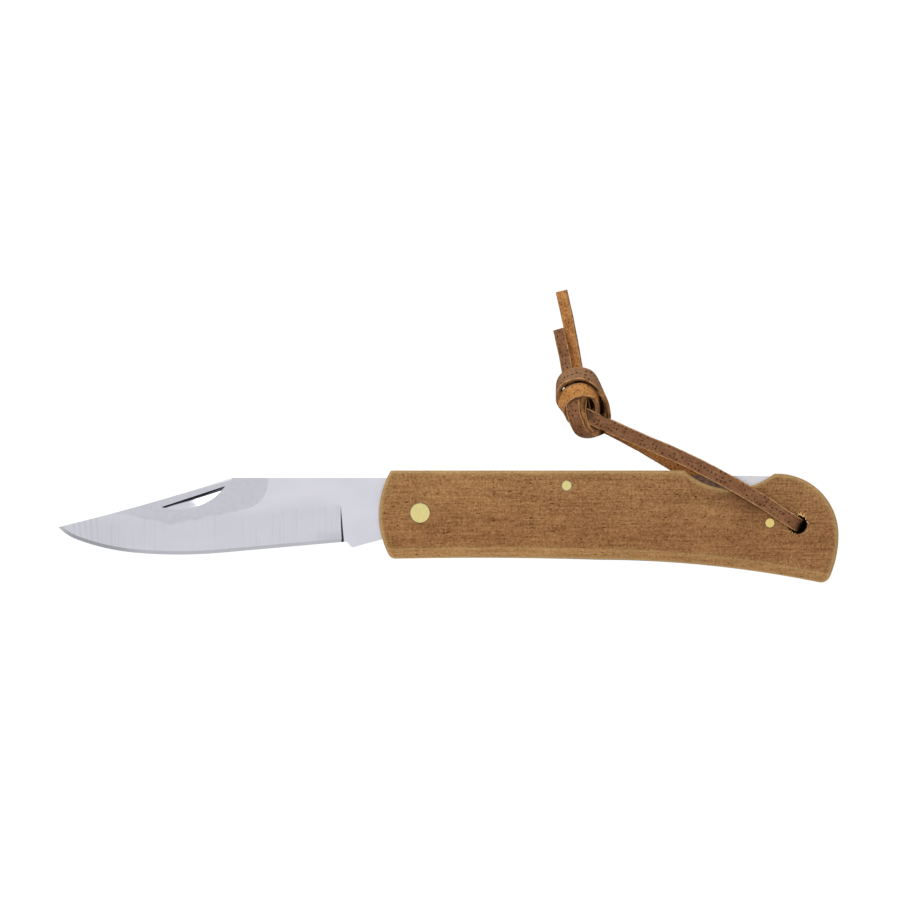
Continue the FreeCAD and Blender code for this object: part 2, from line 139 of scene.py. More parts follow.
# Lace: section, steps along a route, waves of its edges by scale and weight, splines and sides
LACE_WIDTH = 3.2 * MM
LACE_THICKNESS = 1.1 * MM
LACE_CORNER = 0.15 * MM
LACE_CROWN = 0.04 * MM
LACE_STEP = 0.3 * MM
TAIL_SHARE = 0.82
RIM_START = 0.955
TOP_SPREAD = (-1, -RIM_START, -0.6, -0.2, 0.2, 0.6, RIM_START, 1)
CORNER_TURNS = (30, 60, 90)
EDGE_WANDER = 0.06 * MM
EDGE_WAVES = ((0.4, 1.0), (1.7, 0.5))
EDGES_APART = 3
SPLINE_FINENESS = 24
SPLINE_ORDER = 3
TOP_SIDE, RIM_SIDE, RAW_SIDE, UNDER_SIDE = range(4)

# Loose hairs: rings by shares of length and thickness. Those on the edges of the lace are drawn
# from ranges, in millimetres where they are lengths, by a number and a seed for each strand.
HAIR_RINGS = ((0.0, 1.0), (0.55, 0.7))
HAIR_TURNS = (0, 120, 240)
HAIR_THICKNESS = 0.045 * MM
HAIR_LENGTHS = (0.2, 0.55)
HAIR_HEIGHTS = (-0.4, 0.45)
HAIR_AHEAD = (-1.2, 1.2)
HAIR_OUT = (-0.3, 0.5)
HAIR_BENDS = (-0.15, 0.15)
HAIR_ROOT_SHARE = 0.48
HAIR_FREE_FROM = 20
UPPER_HAIRS = (90, 3)
LOWER_HAIRS = (70, 5)

# Fibres torn off by the rim of the lanyard hole: arcs of it in degrees, ranges, number and seed
TORN_THICKNESS = 0.2 * MM
TORN_LENGTHS = (0.6, 1.5)
TORN_ARCS = ((10, 60), (60, 105), (225, 255))
TORN_SPREAD = (-0.1, 0.1)
TORN_LIFT = 0.05 * MM
TORN_LEAN = (-0.6, 0.6)
TORN_RISE = (0.05, 0.2)
TORN_BEND = 0.3 * MM
TORN_HAIRS = (14, 8)

# Back spring: where it leaves its slot, where it meets the lock bar, and the number of lengths that it
# is cut into
SPRING_ROOT = Vector((68.98, 0, 0)) * MM
SPRING_TIP = Vector((45.93, 0, 0)) * MM
SPRING_LENGTHS = 24

# Routes of the lace from the lanyard hole's axis, and the way its upper side looks at each point
UPPER_ROUTE = [
    ((0.00062, -0.00033, 0.0), (0.88, -0.47, 0.0)),
    ((0.00062, -0.00033, 0.0028), (0.88, -0.47, 0.0)),
    ((-0.0006, 0.00032, 0.0069), (0.55, -0.3, 0.78)),
    ((-0.0034, 0.0021, 0.00685), (0.0, 0.0, 1.0)),
    ((-0.0067, 0.00445, 0.0066), (0.0, 0.0, 1.0)),
    ((-0.0154, 0.00965, 0.00685), (0.0, 0.0, 1.0)),
    ((-0.0264, 0.0153, 0.0047), (-0.1, 0.1, 1.0)),
    ((-0.0368, 0.01965, 0.00095), (-0.2, 0.1, 1.0)),
    ((-0.0450, 0.0234, -0.0020), (-0.2, 0.0, 1.0)),
    ((-0.0498, 0.0256, -0.0039), (-0.1, 0.0, 1.0)),
]
LOWER_ROUTE = [
    ((0.00062, -0.00033, 0.0), (0.88, -0.47, 0.0)),
    ((0.00062, -0.00033, -0.0028), (0.88, -0.47, 0.0)),
    ((-0.0006, 0.00032, -0.0069), (0.55, -0.3, -0.78)),
    ((-0.0030, 0.0012, -0.00675), (0.0, 0.0, -1.0)),
    ((-0.0056, 0.0022, -0.00665), (0.0, 0.0, -1.0)),
    ((-0.0132, 0.0052, -0.00665), (0.0, 0.0, -1.0)),
    ((-0.0224, 0.0102, -0.00665), (0.0, 0.0, -1.0)),
    ((-0.0308, 0.0152, -0.00665), (0.1, -0.1, -1.0)),
    ((-0.0382, 0.0196, -0.0056), (0.2, -0.1, -1.0)),
    ((-0.0454, 0.0232, -0.0042), (0.2, 0.0, -1.0)),
]

# Bands of the knot and the tails, from the knot's middle, in millimetres
TOP_BAND = [
    ((-3.4, -0.8, -3.6), (-0.4, 0.0, -0.9)),
    ((-5.3, 0.6, -2.6), (-0.9, -0.1, -0.3)),
    ((-5.8, 2.6, -0.6), (-0.95, 0.2, 0.2)),
    ((-5.1, 5.0, 1.3), (-0.55, 0.58, 0.6)),
    ((-3.2, 6.3, 2.5), (-0.2, 0.56, 0.8)),
    ((-0.9, 6.8, 2.9), (0.0, 0.54, 0.84)),
    ((1.3, 6.3, 2.7), (0.3, 0.54, 0.78)),
    ((2.5, 5.0, 2.0), (0.62, 0.5, 0.6)),
    ((3.8, 3.3, 1.1), (0.88, 0.42, 0.15)),
    ((4.9, 1.3, 0.2), (0.97, 0.2, -0.15)),
    ((5.4, -0.9, -0.8), (0.97, 0.0, -0.3)),
    ((5.6, -2.6, -2.1), (0.85, -0.2, -0.5)),
    ((4.7, -4.2, -3.3), (0.4, -0.3, -0.85)),
    ((2.2, -4.4, -3.7), (0.0, -0.1, -1.0)),
    ((-0.8, -2.8, -3.7), (0.0, 0.0, -1.0)),
]
SUEDE_BAND = [
    ((-2.4, -3.2, -3.3), (-0.4, -0.4, -0.8)),
    ((-4.3, -2.0, -2.4), (-0.9, -0.35, 0.1)),
    ((-4.9, -0.2, -0.6), (-0.75, -0.15, 0.62)),
    ((-4.2, 1.3, 0.8), (-0.5, 0.0, 0.86)),
    ((-2.6, 2.6, 1.7), (-0.2, 0.0, 0.98)),
    ((-0.4, 3.3, 2.1), (0.05, 0.0, 1.0)),
    ((1.7, 3.0, 1.8), (0.4, 0.1, 0.9)),
    ((3.0, 2.1, 0.9), (0.78, 0.2, 0.55)),
    ((3.5, 0.4, -0.4), (0.95, 0.15, 0.25)),
    ((3.5, -1.4, -1.7), (0.98, 0.0, 0.1)),
    ((3.0, -2.9, -2.7), (0.8, -0.3, -0.5)),
    ((1.0, -1.8, -3.3), (0.1, 0.0, -1.0)),
    ((-1.2, -2.6, -3.4), (0.0, -0.1, -1.0)),
]
OUTER_LOBE = [
    ((-2.2, 2.2, 0.2), (-0.15, 0.1, 0.98)),
    ((-2.35, -0.4, 0.9), (-0.2, 0.0, 0.98)),
    ((-1.95, -2.9, 1.2), (-0.2, -0.05, 0.97)),
    ((-1.2, -5.0, 0.8), (-0.2, -0.25, 0.94)),
    ((-0.2, -6.6, -0.4), (-0.15, -0.75, 0.63)),
    ((1.6, -7.4, -1.8), (0.0, -0.97, 0.2)),
    ((3.3, -7.2, -2.5), (0.2, -0.97, 0.0)),
    ((4.9, -5.9, -2.9), (0.5, -0.8, -0.3)),
]
INNER_LOBE = [
    ((-0.4, 2.2, -0.4), (0.05, 0.1, 1.0)),
    ((-1.0, -0.6, -0.25), (0.1, 0.0, 1.0)),
    ((-0.75, -3.2, -0.1), (0.1, -0.05, 1.0)),
    ((-0.1, -5.3, -0.5), (0.05, -0.35, 0.93)),
    ((1.0, -6.6, -1.4), (0.0, -0.85, 0.5)),
    ((2.6, -6.9, -2.4), (0.1, -0.98, 0.1)),
    ((4.4, -6.0, -2.9), (0.4, -0.85, -0.3)),
]
UNDER_BAND = [
    ((0.4, 3.4, -2.3), (0.1, 0.1, 1.0)),
    ((1.9, 1.3, -2.7), (0.1, 0.1, 1.0)),
    ((3.3, -0.9, -3.1), (0.1, 0.0, 1.0)),
    ((4.5, -3.3, -3.4), (0.1, 0.0, 1.0)),
]
LONG_TAIL = [
    ((0.6, -2.6, -2.6), (0.0, -0.2, 1.0)),
    ((0.1, 1.0, -1.8), (0.0, 0.0, 1.0)),
    ((-0.7, 4.4, -0.9), (-0.2, 0.1, 1.0)),
    ((-1.7, 9.8, -2.3), (-0.35, 0.05, 0.9)),
    ((-3.1, 17.8, -3.3), (-0.25, -0.1, 0.95)),
    ((-4.9, 25.7, -3.5), (-0.25, -0.1, 0.95)),
]
SHORT_TAIL = [
    ((-1.4, -2.8, -2.2), (0.0, -0.2, 1.0)),
    ((-2.2, 0.8, -0.6), (0.0, 0.0, 1.0)),
    ((-3.1, 4.3, 1.2), (-0.1, 0.1, 1.0)),
    ((-4.0, 10.5, 0.2), (-0.3, 0.05, 0.95)),
    ((-5.5, 16.9, -0.9), (-0.3, 0.0, 0.95)),
]


def spline_points(places):
    """Points along the smooth line that has these control points."""
    curve = bpy.data.curves.new("route", "CURVE")
    curve.dimensions = "3D"
    curve.resolution_u = SPLINE_FINENESS
    spline = curve.splines.new("NURBS")
    spline.points.add(len(places) - 1)
    for slot, place in zip(spline.points, places):
        slot.co = (*place, 1)
    spline.order_u = SPLINE_ORDER
    spline.use_endpoint_u = True
    carrier = bpy.data.objects.new("route", curve)
    mesh = bpy.data.meshes.new_from_object(carrier)
    found = [v.co.copy() for v in mesh.vertices]
    bpy.data.meshes.remove(mesh)
    bpy.data.objects.remove(carrier)
    bpy.data.curves.remove(curve)
    return found


def even_steps(line, faces, step):
    """The line and its faces, read again at even distances along it."""
    reach = [0.0]
    for a, b in zip(line, line[1:]):
        reach.append(reach[-1] + (b - a).length)
    count = max(2, round(reach[-1] / step))
    places, looks = [], []
    k = 0
    for i in range(count + 1):
        goal = reach[-1] * i / count
        while k < len(line) - 2 and reach[k + 1] < goal:
            k += 1
        share = (goal - reach[k]) / max(reach[k + 1] - reach[k], TINY)
        places.append(line[k].lerp(line[k + 1], share))
        looks.append(faces[k].lerp(faces[k + 1], share))
    return places, looks


def lace_section():
    """Corners of the lace's section as (across, up), round from its top left."""
    half, high, r = LACE_WIDTH / 2, LACE_THICKNESS / 2, LACE_CORNER
    turns = [math.radians(a) for a in CORNER_TURNS]
    top = [(s * (half - r), high + LACE_CROWN * (1 - s * s)) for s in TOP_SPREAD]
    right = [(half - r + r * math.sin(a), high - r + r * math.cos(a)) for a in turns]
    right += [(u, -v) for u, v in reversed(right)]
    return top + right + [(-u, -v) for u, v in top + right]


def lace_side(a, b):
    """Which side of the lace lies between two corners of its section."""
    across = abs(a[0] + b[0]) / 2
    height = (a[1] + b[1]) / 2
    shoulder = LACE_THICKNESS / 2 - LACE_CORNER
    flat = LACE_WIDTH / 2 - LACE_CORNER
    if height > shoulder:
        return TOP_SIDE if across < flat * RIM_START else RIM_SIDE
    return UNDER_SIDE if height < -shoulder and across < flat else RAW_SIDE


def lace_frames(route, origin):
    """Even stations along a route: place, way ahead, way across, way out of the upper side."""
    line = spline_points([origin + Vector(place) for place, face in route])
    faces = spline_points([Vector(face) for place, face in route])
    places, looks = even_steps(line, faces, LACE_STEP)
    stations = []
    for i, (place, look) in enumerate(zip(places, looks)):
        ahead = (places[min(i + 1, len(places) - 1)] - places[max(i - 1, 0)]).normalized()
        face = (look - ahead * look.dot(ahead)).normalized()
        stations.append((place, ahead, ahead.cross(face), face))
    return stations


def add_piece(name, verts, polys, materials, body):
    """New mesh object that rides on a body."""
    mesh = bpy.data.meshes.new(name)
    mesh.from_pydata(verts, [], polys)
    for material in materials:
        mesh.materials.append(material)
    piece = add(name, mesh)
    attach(piece, body)
    return piece


def wander_at(place):
    """How far the lace's edge strays at a place, in parts of EDGE_WANDER."""
    return sum(weight * noise.noise(place * scale) for scale, weight in EDGE_WAVES)


def ribbon(name, stations, materials, share=1.0):
    """Flat lace along its stations, in a share of its width, with UVs along and round it in mm."""
    corners = lace_section()
    count = len(corners)
    girth = [LACE_CORNER - LACE_WIDTH / 2]
    for a, b in zip(corners, corners[1:] + corners[:1]):
        girth.append(girth[-1] + math.dist(a, b))
    verts, polys, sides, spots = [], [], [], []
    for place, ahead, across, face in stations:
        for u, v in corners:
            wander = wander_at(place * PER_MM + across * math.copysign(EDGES_APART, u))
            reach = u * share * (1 + wander * EDGE_WANDER / (LACE_WIDTH / 2))
            verts.append(place + across * reach + face * v)
    for i in range(len(stations) - 1):
        here, there = i * count, (i + 1) * count
        start, end = i * LACE_STEP * PER_MM, (i + 1) * LACE_STEP * PER_MM
        for k in range(count):
            after = (k + 1) % count
            polys.append((here + k, here + after, there + after, there + k))
            sides.append(lace_side(corners[k], corners[after]))
            low, high = girth[k] * PER_MM, girth[k + 1] * PER_MM
            spots += [(start, low), (start, high), (end, high), (end, low)]
    last = (len(stations) - 1) * count
    for ring in (range(count - 1, -1, -1), range(count)):
        base = last if ring.step > 0 else 0
        polys.append(tuple(base + k for k in ring))
        sides.append(RAW_SIDE)
        spots += [(corners[k][0] * PER_MM, corners[k][1] * PER_MM) for k in ring]
    piece = add_piece(name, verts, polys, materials, "handle")
    uv = piece.data.uv_layers.new(name="lace")
    uv.data.foreach_set("uv", [c for spot in spots for c in spot])
    for poly, side in zip(piece.data.polygons, sides):
        poly.material_index = side
        poly.use_smooth = len(poly.vertices) == 4
    return piece


def hairs(name, roots, thickness, material):
    """Loose tapering hairs, each from a place, in a direction, with a length and a bend."""
    verts, polys = [], []
    corners = len(HAIR_TURNS)
    for place, way, length, bend in roots:
        side = way.orthogonal().normalized()
        other = way.cross(side).normalized()
        root = len(verts)
        knee = root + corners
        tip = knee + corners
        for share, thick in HAIR_RINGS:
            centre = place + way * (length * share) + bend * share * share
            for turn in HAIR_TURNS:
                angle = math.radians(turn)
                spoke = side * math.cos(angle) + other * math.sin(angle)
                verts.append(centre + spoke * (thickness * thick / 2))
        verts.append(place + way * length + bend)
        for k in range(corners):
            after = (k + 1) % corners
            polys.append((root + k, root + after, knee + after, knee + k))
            polys.append((knee + k, knee + after, tip))
        polys.append(tuple(root + k for k in reversed(range(corners))))
    piece = add_piece(name, verts, polys, [material], "handle")
    return piece


# Unevenness of shaken coordinates, sharpness of worn and highlit edges, softness of spots
DRIFT_SCALE = 0.9
DRIFT_DETAIL = 2.0
SHARP_STEP = (0.98, 0.89)
SPOT_SOFTNESS = 0.08


class Nodes:
    """Node tree of a material or a world."""

    def __init__(self, owner):
        owner.use_nodes = True
        self.tree = owner.node_tree

    def put(self, socket, value):
        """Links a socket to another one, or gives it a constant."""
        if isinstance(value, bpy.types.NodeSocket):
            self.tree.links.new(value, socket)
        else:
            socket.default_value = value

    def node(self, kind, inputs, **settings):
        """New node with its inputs and settings."""
        made = self.tree.nodes.new("ShaderNode" + kind)
        for key, value in settings.items():
            setattr(made, key, value)
        for key, value in inputs.items():
            self.put(made.inputs[key], value)
        return made

    def math(self, operation, a, b=0.0):
        """Result of one sum."""
        return self.node("Math", {0: a, 1: b}, operation=operation).outputs[0]


class Surface(Nodes):
    """One node material, with short calls for its patterns and masks."""

    def __init__(self, name):
        self.material = bpy.data.materials.new(name)
        super().__init__(self.material)
        self.shader = self.tree.nodes["Principled BSDF"]

    def times(self, *values):
        """Product of values."""
        total = values[0]
        for value in values[1:]:
            total = self.math("MULTIPLY", total, value)
        return total

    def level(self, value, gain, base):
        """A value times a gain, on top of a base."""
        return self.math("ADD", self.times(value, gain), base)

    def without(self, value):
        """What is left of 1."""
        return self.math("SUBTRACT", 1.0, value)

    def ramp(self, value, low, high):
        """0 below low, 1 above high, smooth between; low above high turns it round."""
        inputs = {0: value, 1: low, 2: high, 3: 0.0, 4: 1.0}
        return self.node("MapRange", inputs, interpolation_type="SMOOTHSTEP").outputs[0]

    def mix(self, share, a, b):
        """Colour a, turned to b by a share."""
        return self.node("Mix", {0: share, 6: a, 7: b}, data_type="RGBA").outputs[2]

    def lay(self, colour, where, tint, strength):
        """Colour with a tint laid on it where a mask is 1."""
        return self.mix(self.times(where, strength), colour, tint)

    def blend(self, *layers):
        """Layers of a middle of 0.5, each with its weight, as one that has the same middle."""
        total = 0.5
        for value, weight in layers:
            part = self.math("MULTIPLY", self.math("SUBTRACT", value, 0.5), weight)
            total = self.math("ADD", total, part)
        return total

    def place(self, scale=(1.0, 1.0, 1.0)):
        """Object coordinates in millimetres, stretched by a scale for each axis."""
        where = self.node("TexCoord", {}).outputs["Object"]
        size = tuple(s * PER_MM for s in scale)
        return self.node("VectorMath", {0: where, 1: size}, operation="MULTIPLY").outputs[0]

    def along(self, scale):
        """Coordinates along and round a lace, in millimetres, stretched."""
        where = self.node("UVMap", {}, uv_map="lace").outputs[0]
        return self.node("VectorMath", {0: where, 1: (*scale, 1)}, operation="MULTIPLY").outputs[0]

    def shake(self, where, amount):
        """Coordinates moved about a little, so that what follows them isn't even."""
        inputs = {"Vector": where, "Scale": DRIFT_SCALE, "Detail": DRIFT_DETAIL}
        drift = self.node("TexNoise", inputs).outputs["Color"]
        centred = {0: drift, 1: (0.5, 0.5, 0.5)}
        away = self.node("VectorMath", centred, operation="SUBTRACT").outputs[0]
        inputs = {0: away, 1: (amount, amount, amount), 2: where}
        return self.node("VectorMath", inputs, operation="MULTIPLY_ADD").outputs[0]

    def axis(self, index, origin):
        """Distance from an origin along one axis, in millimetres."""
        where = self.node("SeparateXYZ", {0: self.place()}).outputs[index]
        return self.math("SUBTRACT", where, origin[index] * PER_MM)

    def toward(self, origin, way):
        """Distance from an origin in a direction across the flat, in millimetres."""
        run = self.times(self.axis(0, origin), way[0])
        rise = self.times(self.axis(1, origin), way[1])
        return self.math("ADD", run, rise)

    def away(self, point):
        """Distance from an upright line through a point, in millimetres."""
        flat = self.place((1.0, 1.0, 0.0))
        spot = (point[0] * PER_MM, point[1] * PER_MM, 0.0)
        return self.node("VectorMath", {0: flat, 1: spot}, operation="DISTANCE").outputs[1]

    def ring(self, centre, radius, step):
        """Mask round a pin or a hole, by a step from its rim."""
        return self.ramp(self.away(centre), radius + step[0], radius + step[1])

    def normal(self, axis):
        """One part of the surface's own direction, from 0 to 1."""
        where = self.node("TexCoord", {}).outputs["Normal"]
        part = self.node("SeparateXYZ", {0: where}).outputs[axis]
        return self.math("ABSOLUTE", part)

    def edge(self, radius):
        """1 along the sharp edges of a part and 0 beyond a radius from them."""
        soft = self.node("Bevel", {"Radius": radius}).outputs[0]
        plain = self.node("NewGeometry", {}).outputs["Normal"]
        same = self.node("VectorMath", {0: soft, 1: plain}, operation="DOT_PRODUCT").outputs[1]
        return self.ramp(same, *SHARP_STEP)

    def noise(self, where, detail=3.0, roughness=0.55):
        """Cloudy noise with a middle of 0.5."""
        inputs = {"Vector": where, "Scale": 1.0, "Detail": detail, "Roughness": roughness}
        return self.node("TexNoise", inputs).outputs[0]

    def texture(self, stretch, *fineness):
        """Noise through a part, by a stretch for each axis."""
        return self.noise(self.place(stretch), *fineness)

    def lace_texture(self, stretch, *fineness):
        """Noise on a lace, by a stretch along and round it."""
        return self.noise(self.along(stretch), *fineness)

    def spots(self, where, radius, share, flat=False, scatter=1.0):
        """Soft spots of uneven size in a share of the cells, in rows where the scatter is low."""
        kind = "2D" if flat else "3D"
        inputs = {"Vector": where, "Scale": 1.0, "Randomness": scatter}
        cells = self.node("TexVoronoi", inputs, voronoi_dimensions=kind)
        chance = self.node("SeparateColor", {0: cells.outputs["Color"]}).outputs[0]
        size = self.math("MULTIPLY", self.ramp(chance, 1 - share, 1.0), radius)
        outside = self.math("SUBTRACT", cells.outputs["Distance"], size)
        return self.ramp(outside, 0.0, -SPOT_SOFTNESS)

    def marks(self, stretch, unevenness, radius, share):
        """Spots through a part, by a stretch for each axis."""
        return self.spots(self.shake(self.place(stretch), unevenness), radius, share)

    def lace_marks(self, stretch, unevenness, radius, share, scatter):
        """Spots on a lace, by a stretch along and round it."""
        where = self.shake(self.along(stretch), unevenness)
        return self.spots(where, radius, share, True, scatter)

    def bump(self, height, distance, strength=1.0):
        """Surface direction of a relief."""
        inputs = {"Height": height, "Distance": distance, "Strength": strength}
        return self.node("Bump", inputs).outputs[0]

    def set(self, **inputs):
        """The material, with these inputs of its shader."""
        for key, value in inputs.items():
            self.put(self.shader.inputs[key.replace("_", " ")], value)
        return self.material


# Wood: stretch, detail, roughness and weight of its textures, then stretch, unevenness, radius
# and share of its marks
WOOD_TEXTURES = (
    ((0.07, 2.0, 2.0), 5.0, 0.65, 1.15),
    ((0.5, 3.4, 3.4), 4.0, 0.65, 1.0),
    ((2.4, 0.7, 0.7), 3.0, 0.6, 0.8),
    ((1.9, 2.2, 2.2), 4.0, 0.75, 2.2),
    ((0.08, 0.25, 0.25), 3.0, 0.55, 0.7),
)
WOOD_FLECKS = ((0.8, 2.3, 2.3), 0.5, 0.24, 0.5)
WOOD_FAINT = ((0.9, 2.6, 2.6), 0.5, 0.26, 0.5)
WOOD_DASHES = ((0.42, 1.5, 1.5), 0.4, 0.24, 0.36)
WOOD_DOTS = ((0.95, 1.25, 1.25), 0.5, 0.25, 0.46)
WOOD_TONE = (linear(114, 71, 36), linear(182, 134, 86))
WOOD_FLECK_TINT = (linear(200, 158, 112), 0.45)
WOOD_FAINT_TINT = (linear(92, 54, 28), 0.35)
WOOD_PORE_TINT = (linear(66, 36, 16), 0.85)
WOOD_ROUGHNESS = (0.2, 0.48)
WOOD_GLOSS = 0.1
WOOD_GRAIN_SHARE = 0.5
WOOD_RELIEF = (0.05 * MM, 0.6)

# Wood is paler towards the back, darker towards the rear, by steps from the pivot, and paler
# where its surface leans, from wear and painted light
BACK_STEP = (-8, 9)
BACK_TONE = (linear(134, 92, 48), linear(206, 164, 112))
BACK_STRENGTH = 0.3
REAR_STEP = (20, 65)
REAR_TONE = (linear(86, 50, 26), linear(168, 122, 82))
REAR_STRENGTH = 0.25
LEAN_WEAR_AND_LIGHT_STEP = (0.97, 0.87)
LEAN_WEAR_AND_LIGHT_TONE = (linear(154, 110, 62), linear(204, 160, 108))
LEAN_WEAR_AND_LIGHT_STRENGTH = 0.8
LEAN_WEAR_AND_LIGHT_REAR_LOSS = 0.3

# Wood paler along its sharp edges, from wear and a painted highlight, but not at pins and hole;
# painted shade in rings there
EDGE_WEAR_AND_HIGHLIGHT_RADIUS = 1.3 * MM
EDGE_WEAR_AND_HIGHLIGHT_CLEAR = (0.6, 1.1)
EDGE_WEAR_AND_HIGHLIGHT_TINT = (linear(202, 174, 118), 0.85)
PIN_SHADE_RING = (0.18, 0.06)
PIN_SHADE_TINT = (linear(62, 38, 22), 0.25)
HOLE_SHADE_RING = (0.3, 0.05)
HOLE_SHADE_TINT = (linear(26, 16, 10), 0.9)

# Painted shadow of the lace on the wood beside it: a place on the lace from the lanyard hole,
# the ways along the lace and off its lower side, steps in those ways, and the step up to the upper
# scale
LACE_SHADOW_PLACE = (-3.4, 2.1)
LACE_SHADOW_ALONG = (-0.846, 0.5325)
LACE_SHADOW_BESIDE = (-0.5325, -0.846)
LACE_SHADOW_REACH = (8.5, 0.5)
LACE_SHADOW_SIDE = (-0.5, 0.5)
LACE_SHADOW_REAR_END = (0.5, 7.5)
LACE_SHADOW_FRONT_END = (20.0, 13.0)
LACE_SHADOW_HEIGHT = (2.0, 4.0)
LACE_SHADOW_TINT = (linear(72, 30, 12), 0.6)


def wood():
    """Open-pored brown wood, oiled: paler on its bevels from wear and painted light, with painted
    shade round the pins and hole and a painted shadow beside the lace.
    """
    s = Surface("scale_wood")
    tone = s.blend(*((s.texture(*texture), weight) for *texture, weight in WOOD_TEXTURES))
    colour = s.mix(tone, *WOOD_TONE)
    back = s.ramp(s.axis(1, PIVOT), *BACK_STEP)
    colour = s.lay(colour, back, s.mix(tone, *BACK_TONE), BACK_STRENGTH)
    rear = s.ramp(s.axis(0, PIVOT), *REAR_STEP)
    colour = s.lay(colour, rear, s.mix(tone, *REAR_TONE), REAR_STRENGTH)
    # Paler where the surface leans: wear and painted light
    wear_and_light = s.math("SUBTRACT", LEAN_WEAR_AND_LIGHT_STRENGTH, s.times(rear, LEAN_WEAR_AND_LIGHT_REAR_LOSS))
    colour = s.lay(colour, s.ramp(s.normal(2), *LEAN_WEAR_AND_LIGHT_STEP), s.mix(tone, *LEAN_WEAR_AND_LIGHT_TONE), wear_and_light)
    colour = s.lay(colour, s.marks(*WOOD_FLECKS), *WOOD_FLECK_TINT)
    faint = s.marks(*WOOD_FAINT)
    colour = s.lay(colour, faint, *WOOD_FAINT_TINT)
    pores = s.math("MAXIMUM", s.marks(*WOOD_DASHES), s.marks(*WOOD_DOTS))
    colour = s.lay(colour, pores, *WOOD_PORE_TINT)
    laid = off(HOLE, *LACE_SHADOW_PLACE)
    along = s.toward(laid, LACE_SHADOW_ALONG)
    beside = s.toward(laid, LACE_SHADOW_BESIDE)
    # Painted shadow of the lace on the wood, along the lace's lower side
    painted_lace_shadow = s.times(s.ramp(beside, *LACE_SHADOW_REACH), s.ramp(beside, *LACE_SHADOW_SIDE),
                     s.ramp(along, *LACE_SHADOW_REAR_END), s.ramp(along, *LACE_SHADOW_FRONT_END),
                     s.ramp(s.axis(2, PIVOT), *LACE_SHADOW_HEIGHT))
    colour = s.lay(colour, painted_lace_shadow, *LACE_SHADOW_TINT)
    # Paler sharp edges: wear and a painted highlight
    painted_light_pattern = s.edge(EDGE_WEAR_AND_HIGHLIGHT_RADIUS)
    for centre, radius in (*PINS, (HOLE, HOLE_RADIUS)):
        painted_light_pattern = s.times(painted_light_pattern, s.ring(centre, radius, EDGE_WEAR_AND_HIGHLIGHT_CLEAR))
    colour = s.lay(colour, painted_light_pattern, *EDGE_WEAR_AND_HIGHLIGHT_TINT)
    # Painted shade in a thin ring round each pin
    for centre, radius in PINS:
        colour = s.lay(colour, s.ring(centre, radius, PIN_SHADE_RING), *PIN_SHADE_TINT)
    # Painted shade on the wood at the rim and wall of the lanyard hole
    colour = s.lay(colour, s.ring(HOLE, HOLE_RADIUS, HOLE_SHADE_RING), *HOLE_SHADE_TINT)
    height = s.math("SUBTRACT", s.times(tone, WOOD_GRAIN_SHARE), s.math("MAXIMUM", pores, faint))
    return s.set(Base_Color=colour, Roughness=s.level(tone, *WOOD_ROUGHNESS),
                 Specular_IOR_Level=WOOD_GLOSS, Normal=s.bump(height, *WOOD_RELIEF))


# Blade: stretch, detail and roughness of its textures, colours, and finish. Places on it are
# in millimetres from the pivot, and leans are parts of the surface's direction.
BLADE_CLOUD = ((0.08, 0.2, 0.2), 3.0)
BLADE_CLOUD_STEP = (0.3, 0.7)
BLADE_TONE = (linear(234, 234, 244), linear(240, 239, 250))
BLADE_ROUGHNESS = (0.06, 0.16)
BLADE_WALL_POLISH = 0.09
BLADE_RELIEF = (0.004 * MM, 0.5)
GROUND_LEAN = (0.004, 0.03)
WALL_LEAN = (0.985, 0.97)
STEEP_SHADE_LEAN = (0.9, 0.74)
UPRIGHT_LEAN = (0.2, 0.4)
STEEP_SHADE_TINT = (linear(66, 69, 74), 0.95)

# Sparse lines across the hollow grind, and even bars at the tip
LINES = ((1.3, 0.015, 0.015), 6.0, 0.75)
LINES_STEP = (0.5, 0.66)
LINES_ZONES = ((0.25, 0.1, 0.1), 2.0)
LINES_ZONES_STEP = (0.38, 0.58)
LINES_TINT = (linear(212, 212, 220), 0.8)
TIP_BARS_WAY = (1.0, 0.1)
TIP_BARS_START = (-80.65, -79.65)
TIP_BARS_END = (-73.2, -74.2)
TIP_BARS_STEP = (0.3, 0.95)
TIP_BARS_CLOUD = (0.3, 0.6)
TIP_BARS_TINT = (linear(206, 209, 214), 0.65)
TIP_BAR_PITCH = 1.318

# Duller stretches of the grind: its lower half and the tip; painted shade low on the grind at the heel
GRIND_LINE_END = (-18.1, 1.86)
GRIND_LINE_WAY = (0.0695, -1.0)
LOW_GRIND_STEP = (-1.8, 1.8)
LOW_GRIND_END = (0.6, -1.0)
LOW_GRIND_TINT = (linear(218, 218, 227), 0.35)
HEEL_SHADE_RUN = (-27.0, -20.0)
HEEL_SHADE_DROP = (-3.6, -5.4)
HEEL_SHADE_TINT = (linear(204, 206, 213), 0.5)
TIP_RUN = (-62.0, -72.0)
TIP_TINT = (linear(210, 214, 219), 0.3)

# Dull patch at the nail nick: round at its right end, wavy below, deepest at the dip
PATCH_END = (-41.3, 7.1)
PATCH_REACH = (6.6, 6.2)
PATCH_ROUND = (-3.0, 0.0)
PATCH_LEFT_END = (-36.0, -24.0)
PATCH_DIP = (-57.0, -2.5)
PATCH_DIP_SLOPE = 0.2
PATCH_WAVE = ((0.35, 0.35, 0.35), 3.0)
PATCH_WAVE_HEIGHT = 1.6
PATCH_DEPTH = (0.3, 1.1)
PATCH_LEAN = (0.28, 0.22)
PATCH_SPECKLE = ((1.2, 1.2, 1.2), 4.0, 0.75)
PATCH_TONE = (linear(194, 196, 204), linear(228, 229, 237))
PATCH_STRENGTH = 0.7

